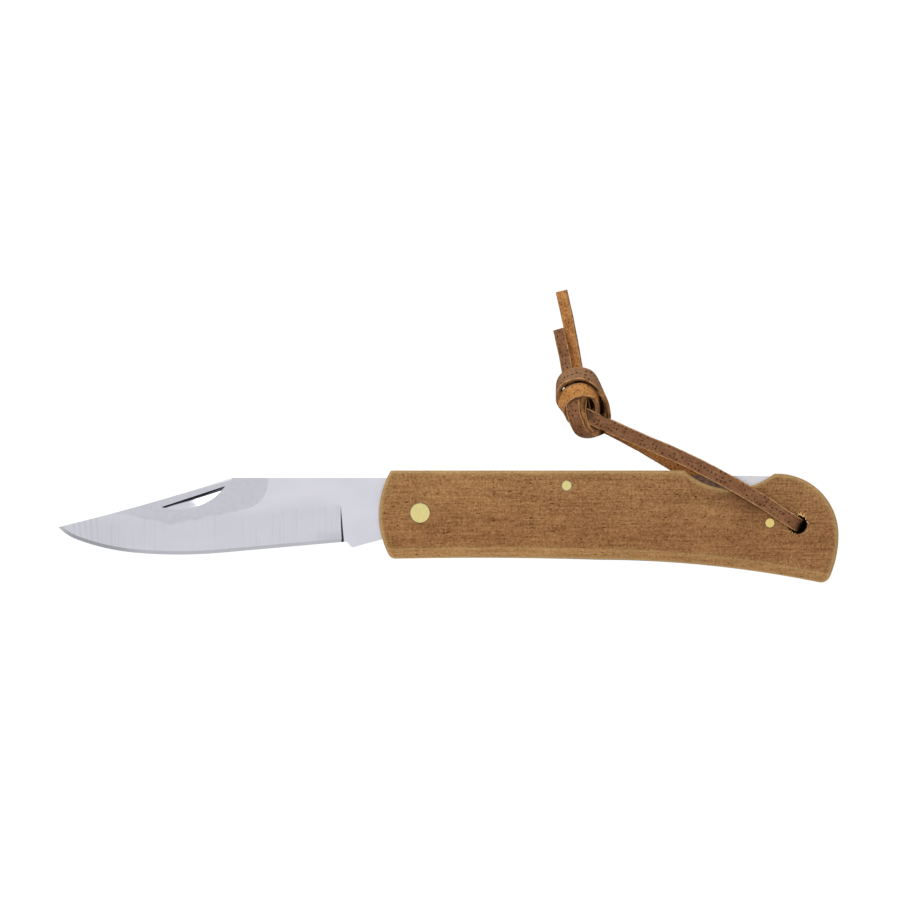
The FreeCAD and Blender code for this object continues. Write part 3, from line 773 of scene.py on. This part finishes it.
# Painted shade on the upper wall of the nail nick, which widens to the right
NICK_WALL_END = (-44.7, 6.1)
NICK_WALL_WAY = (0.312, -0.95)
NICK_WALL_GROWTH = (-13.0, -4.0)
NICK_WALL_WIDTH = (0.32, 0.34)
NICK_WALL_FOOT = (0.24, -0.08)
NICK_WALL_TOP = (-0.4, -0.15)
NICK_WALL_START = (-16.5, -15.2)
NICK_WALL_SHADE_TINT = (linear(34, 36, 40), 1.0)

# Edge bevel, darker at the tip, and a glint along the clip
BEVEL_LEAN = (0.26, 0.34)
BEVEL_LEAN_END = (0.6, 0.5)
BEVEL_TOP = (0.5, -1.5)
BEVEL_RUN = (-16.0, -34.0)
BEVEL_TINT = (linear(200, 201, 207), 0.5)
BEVEL_TIP_TINT = (linear(150, 153, 159), 0.5)
CLIP_END = (-43.26, 8.0)
CLIP_WAY = (0.273, -0.962)
GLINT_REACH = (0.5, 0.25)
GLINT_START = (-27.0, -17.0)
GLINT_END = (0.3, 0.0)
GLINT_TINT = (grey(1.0), 1.0)


def nick_patch(s, lean):
    """1 on the dull patch at the nail nick."""
    nick = off(PIVOT, *PATCH_END)
    along = s.axis(0, nick)
    right = s.math("MAXIMUM", along, 0.0)
    above = s.times(s.axis(1, nick), s.ramp(along, *PATCH_ROUND))
    reach = s.math("SQRT", s.math("ADD", s.times(right, right), s.times(above, above)))
    dip = off(PIVOT, *PATCH_DIP)
    wave = s.times(s.texture(*PATCH_WAVE), PATCH_WAVE_HEIGHT)
    climb = s.times(s.math("ABSOLUTE", s.axis(0, dip)), PATCH_DIP_SLOPE)
    depth = s.math("SUBTRACT", s.math("ADD", s.axis(1, dip), wave), climb)
    return s.times(s.ramp(reach, *PATCH_REACH), s.ramp(along, *PATCH_LEFT_END),
                   s.ramp(depth, *PATCH_DEPTH), s.ramp(lean, *PATCH_LEAN))


def blade_steel():
    """Satin blade: lines across the hollow grind, a dull patch at the nail nick, painted shade on the
    nick's wall and steep walls.
    """
    s = Surface("blade_steel")
    lean, up = s.normal(1), s.normal(2)
    run, rise = s.axis(0, PIVOT), s.axis(1, PIVOT)
    ground = s.ramp(lean, *GROUND_LEAN)
    cloud = s.texture(*BLADE_CLOUD)
    colour = s.mix(s.ramp(cloud, *BLADE_CLOUD_STEP), *BLADE_TONE)

    lines = s.texture(*LINES)
    zones = s.ramp(s.texture(*LINES_ZONES), *LINES_ZONES_STEP)
    colour = s.lay(colour, s.times(s.ramp(lines, *LINES_STEP), zones, ground), *LINES_TINT)
    slant = s.toward(PIVOT, TIP_BARS_WAY)
    turn = s.times(s.math("SUBTRACT", slant, TIP_BARS_START[1]), math.tau / TIP_BAR_PITCH)
    bars = s.times(s.ramp(s.math("COSINE", turn), *TIP_BARS_STEP), ground,
                   s.ramp(slant, *TIP_BARS_START), s.ramp(slant, *TIP_BARS_END))
    colour = s.lay(colour, s.times(bars, s.ramp(cloud, *TIP_BARS_CLOUD)), *TIP_BARS_TINT)

    crease = off(PIVOT, *GRIND_LINE_END)
    below = s.toward(crease, GRIND_LINE_WAY)
    low_grind = s.times(s.ramp(below, *LOW_GRIND_STEP), s.ramp(s.axis(0, crease), *LOW_GRIND_END))
    colour = s.lay(colour, low_grind, *LOW_GRIND_TINT)
    # Painted shade low on the grind at the heel
    heel_shade = s.times(ground, s.ramp(run, *HEEL_SHADE_RUN), s.ramp(rise, *HEEL_SHADE_DROP))
    colour = s.lay(colour, heel_shade, *HEEL_SHADE_TINT)
    tip = s.ramp(run, *TIP_RUN)
    colour = s.lay(colour, s.times(tip, ground), *TIP_TINT)
    dull = s.mix(s.texture(*PATCH_SPECKLE), *PATCH_TONE)
    colour = s.lay(colour, nick_patch(s, lean), dull, PATCH_STRENGTH)

    upright = s.ramp(up, *UPRIGHT_LEAN)
    walls = s.times(s.ramp(up, *WALL_LEAN), upright)
    corner = off(PIVOT, *NICK_WALL_END)
    drop = s.toward(corner, NICK_WALL_WAY)
    width = s.level(s.ramp(s.axis(0, corner), *NICK_WALL_GROWTH), *NICK_WALL_WIDTH)
    # Painted shade along the nick's upper wall
    painted_groove_shade = s.times(walls, s.ramp(s.math("SUBTRACT", drop, width), *NICK_WALL_FOOT),
                     s.ramp(drop, *NICK_WALL_TOP), s.ramp(s.axis(0, corner), *NICK_WALL_START))
    colour = s.lay(colour, painted_groove_shade, *NICK_WALL_SHADE_TINT)
    # Painted shade on steep walls
    colour = s.lay(colour, s.times(s.ramp(up, *STEEP_SHADE_LEAN), upright), *STEEP_SHADE_TINT)

    bevel = s.times(s.ramp(lean, *BEVEL_LEAN), s.ramp(lean, *BEVEL_LEAN_END), s.ramp(rise, *BEVEL_TOP))
    colour = s.lay(colour, s.times(bevel, s.ramp(run, *BEVEL_RUN)), *BEVEL_TINT)
    colour = s.lay(colour, s.times(bevel, tip), *BEVEL_TIP_TINT)
    clip = off(PIVOT, *CLIP_END)
    glint = s.times(s.ramp(s.toward(clip, CLIP_WAY), *GLINT_REACH),
                    s.ramp(s.axis(0, clip), *GLINT_START), s.ramp(s.axis(0, clip), *GLINT_END))
    colour = s.lay(colour, glint, *GLINT_TINT)

    polish = s.times(walls, BLADE_WALL_POLISH)
    rough = s.math("SUBTRACT", s.level(cloud, *BLADE_ROUGHNESS), polish)
    height = s.times(lines, ground, s.without(walls))
    return s.set(Base_Color=colour, Metallic=1.0, Roughness=rough,
                 Normal=s.bump(height, *BLADE_RELIEF))


# Lock bar: textures, specks, and a painted shadow and brown reflection of the lace between two steps
# from the pivot
LOCK_CLOUD = ((0.3, 0.6, 0.6), 3.0)
LOCK_TONE = (linear(226, 226, 232), linear(244, 244, 250))
LOCK_SPECKS = ((1.2, 1.5, 1.5), 0.4, 0.2, 0.35)
LOCK_SPECK_TINT = (linear(110, 108, 108), 0.6)
LOCK_ROUGHNESS = (0.3, 0.2)
LACE_SHADE_FRONT = (58.5, 60.5)
LACE_SHADE_REAR = (74.5, 71.5)
LACE_SHADE_TEXTURE = ((0.9, 1.6, 1.6), 4.0, 0.65)
LACE_SHADE_WANDER = 5.0
LACE_SHADE_STEP = (0.35, 0.65)
LACE_SHADE_TONE = (linear(84, 54, 34), linear(150, 112, 80))
LACE_SHADE_STRENGTH = 0.9


def bar_steel():
    """Polished lock bar: a few dark specks, and a painted brown shadow and reflection of the lace
    where that crosses it.
    """
    s = Surface("lock_steel")
    colour = s.mix(s.texture(*LOCK_CLOUD), *LOCK_TONE)
    colour = s.lay(colour, s.marks(*LOCK_SPECKS), *LOCK_SPECK_TINT)
    run = s.axis(0, PIVOT)
    painted_light_pattern = s.texture(*LACE_SHADE_TEXTURE)
    edge = s.math("ADD", run, s.times(painted_light_pattern, LACE_SHADE_WANDER))
    # Painted shadow and brown reflection of the lace where it crosses the bar
    lace_shade = s.times(s.ramp(run, *LACE_SHADE_FRONT), s.ramp(edge, *LACE_SHADE_REAR))
    brown = s.mix(s.ramp(painted_light_pattern, *LACE_SHADE_STEP), *LACE_SHADE_TONE)
    colour = s.lay(colour, lace_shade, brown, LACE_SHADE_STRENGTH)
    return s.set(Base_Color=colour, Metallic=1.0, Roughness=s.level(lace_shade, *LOCK_ROUGHNESS))


# Inner steel: fine lines, and painted shade round the lanyard hole
STEEL_LINES = ((4.0, 0.3, 0.3), 3.0, 0.7)
STEEL_LINES_STEP = (0.62, 0.36)
STEEL_DARK_SHARE = 0.8
STEEL_GLOSS = 0.1
STEEL_ROUGHNESS = (0.12, 0.35)
STEEL_HOLE_SHADE_RING = (0.4, 0.1)
STEEL_HOLE_SHADE_TINT = (linear(24, 20, 18), 0.95)
STEEL_HOLE_SHADE_ROUGHNESS = 0.5


def darker(colour, share):
    """A share of a colour."""
    return (*(c * share for c in colour[:3]), 1.0)


def steel(name, pale):
    """Plain inner steel with fine lines."""
    s = Surface(name)
    lines = s.texture(*STEEL_LINES)
    colour = s.mix(s.ramp(lines, *STEEL_LINES_STEP), pale, darker(pale, STEEL_DARK_SHARE))
    # Painted shade round the lanyard hole: dark, rougher and not metallic
    hole_shade = s.ring(HOLE, HOLE_RADIUS, STEEL_HOLE_SHADE_RING)
    colour = s.lay(colour, hole_shade, *STEEL_HOLE_SHADE_TINT)
    rough = s.math("ADD", s.level(lines, *STEEL_ROUGHNESS), s.times(hole_shade, STEEL_HOLE_SHADE_ROUGHNESS))
    return s.set(Base_Color=colour, Metallic=s.without(hole_shade), Roughness=rough,
                 Specular_IOR_Level=STEEL_GLOSS)


# Pin metal: fine lines, and a warmer colour within a distance of the rear pin
BRASS_LINES = ((6.0, 0.8, 0.8), 3.0)
BRASS_LINES_STEP = (0.65, 0.35)
BRASS_DARK_SHARE = 0.9
BRASS_ROUGHNESS = (0.1, 0.3)
WARM_REACH = (3.0, 2.0)
WARM_TINT = (linear(244, 217, 138), 1.0)


def brass(name, pale):
    """Pin metal, ground flush, with fine lines; warmer at the rear pin."""
    s = Surface(name)
    lines = s.texture(*BRASS_LINES)
    colour = s.mix(s.ramp(lines, *BRASS_LINES_STEP), pale, darker(pale, BRASS_DARK_SHARE))
    colour = s.lay(colour, s.ramp(s.away(REAR_PIN), *WARM_REACH), *WARM_TINT)
    return s.set(Base_Color=colour, Metallic=1.0, Roughness=s.level(lines, *BRASS_ROUGHNESS))


# Painted shade in the depths of the knot: a spot from its middle, the reach round that spot, and the
# height below which it is painted dark. The painted shadow of the gap is a ring in the upper half of
# the knot.
KNOT_SHADE_FADE = 1.1
STRAND_SHADE = ((1.2, -2.6), (2.4, 0.6), 1.6)
STRAND_SHADE_TINT = (linear(48, 30, 20), 0.6)
SUEDE_SHADE = ((2.6, -0.8), (3.1, 2.2), 1.6)
EDGE_SHADE = ((-2.7, -3.6), (9.0, 8.2), 2.6)
EDGE_SHADE_RUN = (3.4, 4.4)
KNOT_SHADE_TINT = (linear(44, 25, 14), 0.85)
GAP_CENTRE = (-0.85, -0.19)
GAP_OUTSIDE = (5.5, 5.25)
GAP_INSIDE = (4.7, 4.9)
GAP_RISE = (2.0, 3.0)
GAP_SHADOW_TINT = (linear(30, 17, 11), 0.9)


def knot_shade(s, spot, reach, top):
    """1 where shade is painted deep inside the knot: near a spot and well below a top."""
    near = s.ramp(s.away(off(KNOT, *spot)), *reach)
    return s.times(near, s.ramp(s.axis(2, KNOT), top, top - KNOT_SHADE_FADE))


def knot_gap_shadow(s):
    """1 where a shadow is painted in the gap between the knot's top band and the suede band under it.
    """
    ring = s.away(off(KNOT, *GAP_CENTRE))
    return s.times(s.ramp(ring, *GAP_OUTSIDE), s.ramp(ring, *GAP_INSIDE),
                   s.ramp(s.axis(1, KNOT), *GAP_RISE))


# Smooth side of the lace: stretch along and round it, detail and roughness of its textures, and
# stretch, unevenness, radius, share and scatter of its pores
GRAIN_PATCHES = ((0.3, 0.6), 4.0, 0.6)
GRAIN_WRINKLES = ((1.6, 2.6), 4.0, 0.65)
GRAIN_WEIGHTS = (1.4, 2.0)
GRAIN_WRINKLES_SHARE = 0.4
GRAIN_PORES = ((1.05, 1.1), 0.3, 0.3, 1.0, 0.45)
GRAIN_PORE_TINT = (linear(54, 31, 19), 0.85)
GRAIN_TONE = (linear(98, 60, 35), linear(157, 111, 78))
GRAIN_ROUGHNESS = 0.62
GRAIN_GLOSS = 0.1
GRAIN_RELIEF = (0.06 * MM, 0.6)
SHEEN_RISE = (3.5, 6.0)
SHEEN_HEIGHT = (0.5, 2.0)
SHEEN_TINT = (linear(178, 138, 100), 0.4)
SUNK_SHADE_PLACE = (1.3, -0.7)
SUNK_SHADE_REACH = (1.9, 0.7)
SUNK_SHADE_TINT = (linear(24, 16, 12), 0.85)


def leather_grain():
    """Smooth side of the lace: brown, with dark pores in loose rows, a painted sheen on the knot's top
    band, and painted shade deep in the knot and where it sinks into the hole.
    """
    s = Surface("leather_grain")
    patches = s.lace_texture(*GRAIN_PATCHES)
    wrinkles = s.lace_texture(*GRAIN_WRINKLES)
    level = s.blend(*zip((patches, wrinkles), GRAIN_WEIGHTS))
    colour = s.mix(level, *GRAIN_TONE)
    # Painted sheen on the knot's top band
    painted_sheen = s.times(s.ramp(s.axis(1, KNOT), *SHEEN_RISE), s.ramp(s.axis(2, KNOT), *SHEEN_HEIGHT))
    colour = s.lay(colour, painted_sheen, *SHEEN_TINT)
    pores = s.lace_marks(*GRAIN_PORES)
    colour = s.lay(colour, pores, *GRAIN_PORE_TINT)
    # Painted shade deep in the knot
    colour = s.lay(colour, knot_shade(s, *STRAND_SHADE), *STRAND_SHADE_TINT)
    # Painted shade where the lace sinks into the lanyard hole
    colour = s.lay(colour, s.ramp(s.away(off(HOLE, *SUNK_SHADE_PLACE)), *SUNK_SHADE_REACH), *SUNK_SHADE_TINT)
    height = s.math("SUBTRACT", s.times(wrinkles, GRAIN_WRINKLES_SHARE), pores)
    return s.set(Base_Color=colour, Roughness=GRAIN_ROUGHNESS, Specular_IOR_Level=GRAIN_GLOSS,
                 Normal=s.bump(height, *GRAIN_RELIEF))


# Flesh side of the lace: textures and specks as above, and painted light on top of the knot
SUEDE_PATCHES = ((0.3, 0.5), 3.0)
SUEDE_FIBRES = ((1.9, 2.6), 5.0, 0.75)
SUEDE_WEIGHTS = (1.4, 2.8)
SUEDE_SPECKS = ((1.3, 1.5), 0.6, 0.3, 0.65, 1.0)
SUEDE_SPECK_TINT = (linear(86, 50, 26), 0.6)
SUEDE_SPECKS_SHARE = 0.5
SUEDE_TONE = (linear(118, 70, 34), linear(222, 160, 98))
SUEDE_ROUGHNESS = 0.95
SUEDE_GLOSS = 0.02
SUEDE_RELIEF = (0.12 * MM, 0.7)
TOP_LIGHT_REACH = (6.0, 4.5)
TOP_LIGHT_HEIGHT = (0.0, 1.2)
TOP_LIGHT_TINT = (linear(230, 160, 88), 0.22)


def leather_suede():
    """Flesh side of the lace: orange brown, fibrous, with dark specks; painted light on top of the
    knot and painted shade inside it.
    """
    s = Surface("leather_suede")
    patches = s.lace_texture(*SUEDE_PATCHES)
    fibres = s.lace_texture(*SUEDE_FIBRES)
    level = s.blend(*zip((patches, fibres), SUEDE_WEIGHTS))
    colour = s.mix(level, *SUEDE_TONE)
    # Painted light on top of the knot
    painted_top_light = s.times(s.ramp(s.away(KNOT), *TOP_LIGHT_REACH), s.ramp(s.axis(2, KNOT), *TOP_LIGHT_HEIGHT))
    colour = s.lay(colour, painted_top_light, *TOP_LIGHT_TINT)
    specks = s.lace_marks(*SUEDE_SPECKS)
    colour = s.lay(colour, specks, *SUEDE_SPECK_TINT)
    # Painted shade deep in the knot
    colour = s.lay(colour, knot_shade(s, *SUEDE_SHADE), *KNOT_SHADE_TINT)
    # Painted shadow in the gap under the knot's top band
    colour = s.lay(colour, knot_gap_shadow(s), *GAP_SHADOW_TINT)
    height = s.math("SUBTRACT", fibres, s.times(specks, SUEDE_SPECKS_SHARE))
    return s.set(Base_Color=colour, Roughness=SUEDE_ROUGHNESS, Specular_IOR_Level=SUEDE_GLOSS,
                 Normal=s.bump(height, *SUEDE_RELIEF))


# Cut edge of the lace and its loose fibres
CUT_FIBRES = ((1.6, 4.0), 5.0, 0.7)
CUT_PATCHES = ((0.5, 0.5), 3.0)
CUT_WEIGHTS = (2.0, 1.8)
CUT_ROUGHNESS = 0.9
CUT_GLOSS = 0.02
CUT_RELIEF = (0.1 * MM, 0.7)
HAIR_TEXTURE = ((1.5, 1.5, 1.5), 2.0)
HAIR_STEP = (0.3, 0.7)
HAIR_ROUGHNESS = 0.9
HAIR_GLOSS = 0.1


def leather_edge(name, dark, pale):
    """Cut edge of the lace, broken up by fibres."""
    s = Surface(name)
    fibres = s.lace_texture(*CUT_FIBRES)
    patches = s.lace_texture(*CUT_PATCHES)
    level = s.blend(*zip((fibres, patches), CUT_WEIGHTS))
    colour = s.mix(level, dark, pale)
    # Painted shade on the cut edges deep in the knot
    hollow_shade = s.times(knot_shade(s, *EDGE_SHADE), s.ramp(s.axis(0, KNOT), *EDGE_SHADE_RUN))
    colour = s.lay(colour, hollow_shade, *KNOT_SHADE_TINT)
    # Painted shadow in the gap under the knot's top band
    colour = s.lay(colour, knot_gap_shadow(s), *GAP_SHADOW_TINT)
    return s.set(Base_Color=colour, Roughness=CUT_ROUGHNESS, Specular_IOR_Level=CUT_GLOSS,
                 Normal=s.bump(fibres, *CUT_RELIEF))


def hair_fibre(name, dark, pale):
    """Loose fibres, uneven in shade."""
    s = Surface(name)
    colour = s.mix(s.ramp(s.texture(*HAIR_TEXTURE), *HAIR_STEP), dark, pale)
    return s.set(Base_Color=colour, Roughness=HAIR_ROUGHNESS, Specular_IOR_Level=HAIR_GLOSS)


def dress(material, *names):
    """Gives carried-over parts their material."""
    for name in names:
        nodes[name].data.materials.clear()
        nodes[name].data.materials.append(material)


dress(wood(), "upper_scale", "lower_scale")
dress(blade_steel(), "blade")
dress(bar_steel(), "lock_bar")
dress(steel("liner_steel", linear(170, 170, 172)), "upper_liner", "lower_liner", "rear_spacer")
dress(steel("spring_steel", linear(140, 140, 145)), "back_spring")
dress(brass("pin_brass", linear(243, 229, 157)), "pivot_pin", "lock_bar_pin", "rear_pin")
dress(brass("washer_bronze", linear(200, 150, 92)), "upper_washer", "lower_washer")


def bending_spring():
    """Back spring cut into short lengths, in place of the carried-over one."""
    leaf = add("spring_leaf", nodes["back_spring"].data.copy())
    shape = bmesh.new()
    shape.from_mesh(leaf.data)
    for cut in range(1, SPRING_LENGTHS):
        place = SPRING_ROOT.lerp(SPRING_TIP, cut / SPRING_LENGTHS)
        whole = shape.verts[:] + shape.edges[:] + shape.faces[:]
        bmesh.ops.bisect_plane(shape, geom=whole, plane_co=place, plane_no=(1, 0, 0))
    shape.to_mesh(leaf.data)
    shape.free()
    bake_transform(leaf)
    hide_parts("back_spring")


bending_spring()

# Materials of the lace's sides, in the order of their numbers
GRAIN = leather_grain()
SUEDE = leather_suede()
# Cut edge of the lace: a paler copy on its upper corners as a painted highlight, and a darker copy on
# its sides as painted shade
RIM_HIGHLIT = leather_edge("leather_rim_highlit", linear(126, 84, 50), linear(218, 170, 118))
RAW_SHADED = leather_edge("leather_raw_shaded", linear(100, 66, 42), linear(180, 130, 86))
# Near-black copy of the cut edge for the knot's inside band: painted shade
INSIDE_SHADED = leather_edge("leather_inside_shaded", linear(28, 16, 10), linear(66, 38, 22))
GRAIN_OUT = (GRAIN, RIM_HIGHLIT, RAW_SHADED, SUEDE)
SUEDE_OUT = (SUEDE, RIM_HIGHLIT, RAW_SHADED, GRAIN)
SHADED_OUT = (INSIDE_SHADED, INSIDE_SHADED, INSIDE_SHADED, SUEDE)


def knot_piece(name, route, materials, share=1.0):
    """Band or tail of the knot."""
    places = [(tuple(c * MM for c in place), face) for place, face in route]
    return ribbon(name, lace_frames(places, KNOT), materials, share)


top_band = knot_piece("knot_top_band", TOP_BAND, GRAIN_OUT)
suede_band = knot_piece("knot_suede_band", SUEDE_BAND, SUEDE_OUT)
outer_lobe = knot_piece("knot_outer_lobe", OUTER_LOBE, GRAIN_OUT)
inner_lobe = knot_piece("knot_inner_lobe", INNER_LOBE, SUEDE_OUT)
under_band = knot_piece("knot_under_band", UNDER_BAND, SHADED_OUT)
long_tail = knot_piece("lace_long_tail", LONG_TAIL, SUEDE_OUT, TAIL_SHARE)
short_tail = knot_piece("lace_short_tail", SHORT_TAIL, GRAIN_OUT, TAIL_SHARE)
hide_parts("thong_knot")
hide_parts("thong_long_tail")
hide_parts("thong_short_tail")

upper_stations = lace_frames(UPPER_ROUTE, HOLE)
lower_stations = lace_frames(LOWER_ROUTE, HOLE)
upper_lace = ribbon("lace_upper", upper_stations, GRAIN_OUT)
lower_lace = ribbon("lace_lower", lower_stations, GRAIN_OUT)
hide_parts("thong_upper_strand", "thong_bight")
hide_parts("thong_lower_strand")


def edge_hairs(stations, count, seed):
    """Roots of fibres that stand off both edges of a lace."""
    dice = random.Random(seed)
    roots = []
    for _ in range(count):
        place, ahead, across, face = dice.choice(stations)
        side = across * dice.choice((-1, 1))
        height = face * (LACE_THICKNESS * dice.uniform(*HAIR_HEIGHTS))
        way = side + ahead * dice.uniform(*HAIR_AHEAD) + face * dice.uniform(*HAIR_OUT)
        bend = ahead * (dice.uniform(*HAIR_BENDS) * MM)
        length = dice.uniform(*HAIR_LENGTHS) * MM
        root = place + side * (LACE_WIDTH * HAIR_ROOT_SHARE) + height
        roots.append((root, way.normalized(), length, bend))
    return roots


def rim_hairs(count, seed):
    """Roots of fibres torn from the lace by the rim of the lanyard hole."""
    dice = random.Random(seed)
    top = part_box("upper_scale")[1].z
    roots = []
    for _ in range(count):
        turn = math.radians(dice.choice([dice.uniform(*arc) for arc in TORN_ARCS]))
        way = Vector((math.cos(turn), math.sin(turn), 0))
        root = HOLE + way * ((HOLE_RADIUS + dice.uniform(*TORN_SPREAD)) * MM)
        root.z = top + TORN_LIFT
        lean = Vector((dice.uniform(*TORN_LEAN), dice.uniform(*TORN_LEAN), dice.uniform(*TORN_RISE)))
        length = dice.uniform(*TORN_LENGTHS) * MM
        roots.append((root, (way + lean).normalized(), length, lean * TORN_BEND))
    return roots


upper_roots = edge_hairs(upper_stations[HAIR_FREE_FROM:], *UPPER_HAIRS)
lower_roots = edge_hairs(lower_stations[HAIR_FREE_FROM:], *LOWER_HAIRS)
lace_hair = hair_fibre("lace_hair", linear(130, 92, 60), linear(206, 164, 120))
hairs("lace_fibres", upper_roots + lower_roots, HAIR_THICKNESS, lace_hair)
torn_hair = hair_fibre("torn_hair", linear(220, 164, 98), linear(250, 212, 150))
hairs("hole_fibres", rim_hairs(*TORN_HAIRS), TORN_THICKNESS, torn_hair)


def floor_white():
    """Bright surface with a painted shadow under the handle and a dark one under its hole, and clear
    from below.
    """
    s = Surface("floor_white")
    # Painted shadow: less glow and a darker base under the handle and under its hole
    handle_shadow = s.times(s.ramp(s.math("ABSOLUTE", s.axis(0, HANDLE)), *FLOOR_SHADOW_RUN),
                  s.ramp(s.math("ABSOLUTE", s.axis(1, HANDLE)), *FLOOR_SHADOW_RISE), FLOOR_SHADOW_STRENGTH)
    painted_shadow = s.math("MAXIMUM", handle_shadow, s.ramp(s.away(HOLE), *FLOOR_HOLE_SHADOW))
    s.set(Base_Color=s.mix(painted_shadow, FLOOR_OPEN, FLOOR_SHADOW_COLOUR), Roughness=FLOOR_ROUGHNESS,
          Specular_IOR_Level=0.0, Emission_Color=grey(1.0),
          Emission_Strength=s.times(s.without(painted_shadow), FLOOR_GLOW))
    underside = s.node("NewGeometry", {}).outputs["Backfacing"]
    clear = s.node("BsdfTransparent", {}).outputs[0]
    both = s.node("MixShader", {0: underside, 1: s.shader.outputs[0], 2: clear}).outputs[0]
    s.put(s.tree.nodes["Material Output"].inputs[0], both)
    return s.material


def floor():
    """Table under the knife, sloped as the knife lies on it."""
    slope = (FLOOR_REAR[1] - FLOOR_FRONT[1]) / (FLOOR_REAR[0] - FLOOR_FRONT[0])
    level = FLOOR_FRONT[1] - slope * FLOOR_FRONT[0]
    half = FLOOR_SIZE / 2
    around = ((-half, -half), (half, -half), (half, half), (-half, half))
    mesh = bpy.data.meshes.new("floor")
    mesh.from_pydata([(x, y, level + slope * x) for x, y in around], [], [(0, 1, 2, 3)])
    mesh.materials.append(floor_white())
    piece = add("floor", mesh)


def lamp(name, place, size, power, matt, gloss):
    """Soft square light that looks at the middle of the knife."""
    light = bpy.data.lights.new(name, "AREA")
    light.shape = "SQUARE"
    light.size = size
    light.energy = power
    piece = add(name, light)
    piece.location = place
    piece.rotation_euler = (-Vector(place)).to_track_quat("-Z", "Y").to_euler()
    piece.visible_diffuse = matt
    piece.visible_glossy = gloss


def surroundings():
    """White ceiling over grey walls, and white below the table."""
    world = bpy.data.worlds.new("studio")
    s = Nodes(world)
    where = s.node("TexCoord", {}).outputs["Generated"]
    height = s.node("SeparateXYZ", {0: where}).outputs[2]
    inputs = {0: height, 1: WALL_STEP[0], 2: WALL_STEP[1], 3: WALL_LEVEL, 4: CEILING_LEVEL}
    above = s.node("MapRange", inputs, interpolation_type="SMOOTHSTEP").outputs[0]
    below = s.math("LESS_THAN", height, 0.0)
    background = s.tree.nodes["Background"]
    s.put(background.inputs[0], grey(1.0))
    s.put(background.inputs[1], s.math("MAXIMUM", above, below))
    bpy.context.scene.world = world


def camera():
    """Straight down, framed as the photograph."""
    data = bpy.data.cameras.new("camera")
    data.type = "ORTHO"
    data.ortho_scale = PHOTO_PIXELS * PIXEL
    data.clip_start, data.clip_end = CAMERA_CLIP
    piece = add("camera", data)
    centre = PHOTO_PIXELS / 2
    shift = Vector((centre - PIVOT_PIXEL[0], PIVOT_PIXEL[1] - centre, 0)) * PIXEL
    piece.location = Vector((PIVOT.x, PIVOT.y, CAMERA_HEIGHT)) + shift
    bpy.context.scene.camera = piece


floor()
for settings in LAMPS:
    lamp(*settings)
surroundings()
camera()
bpy.context.scene.view_settings.view_transform = "Standard"
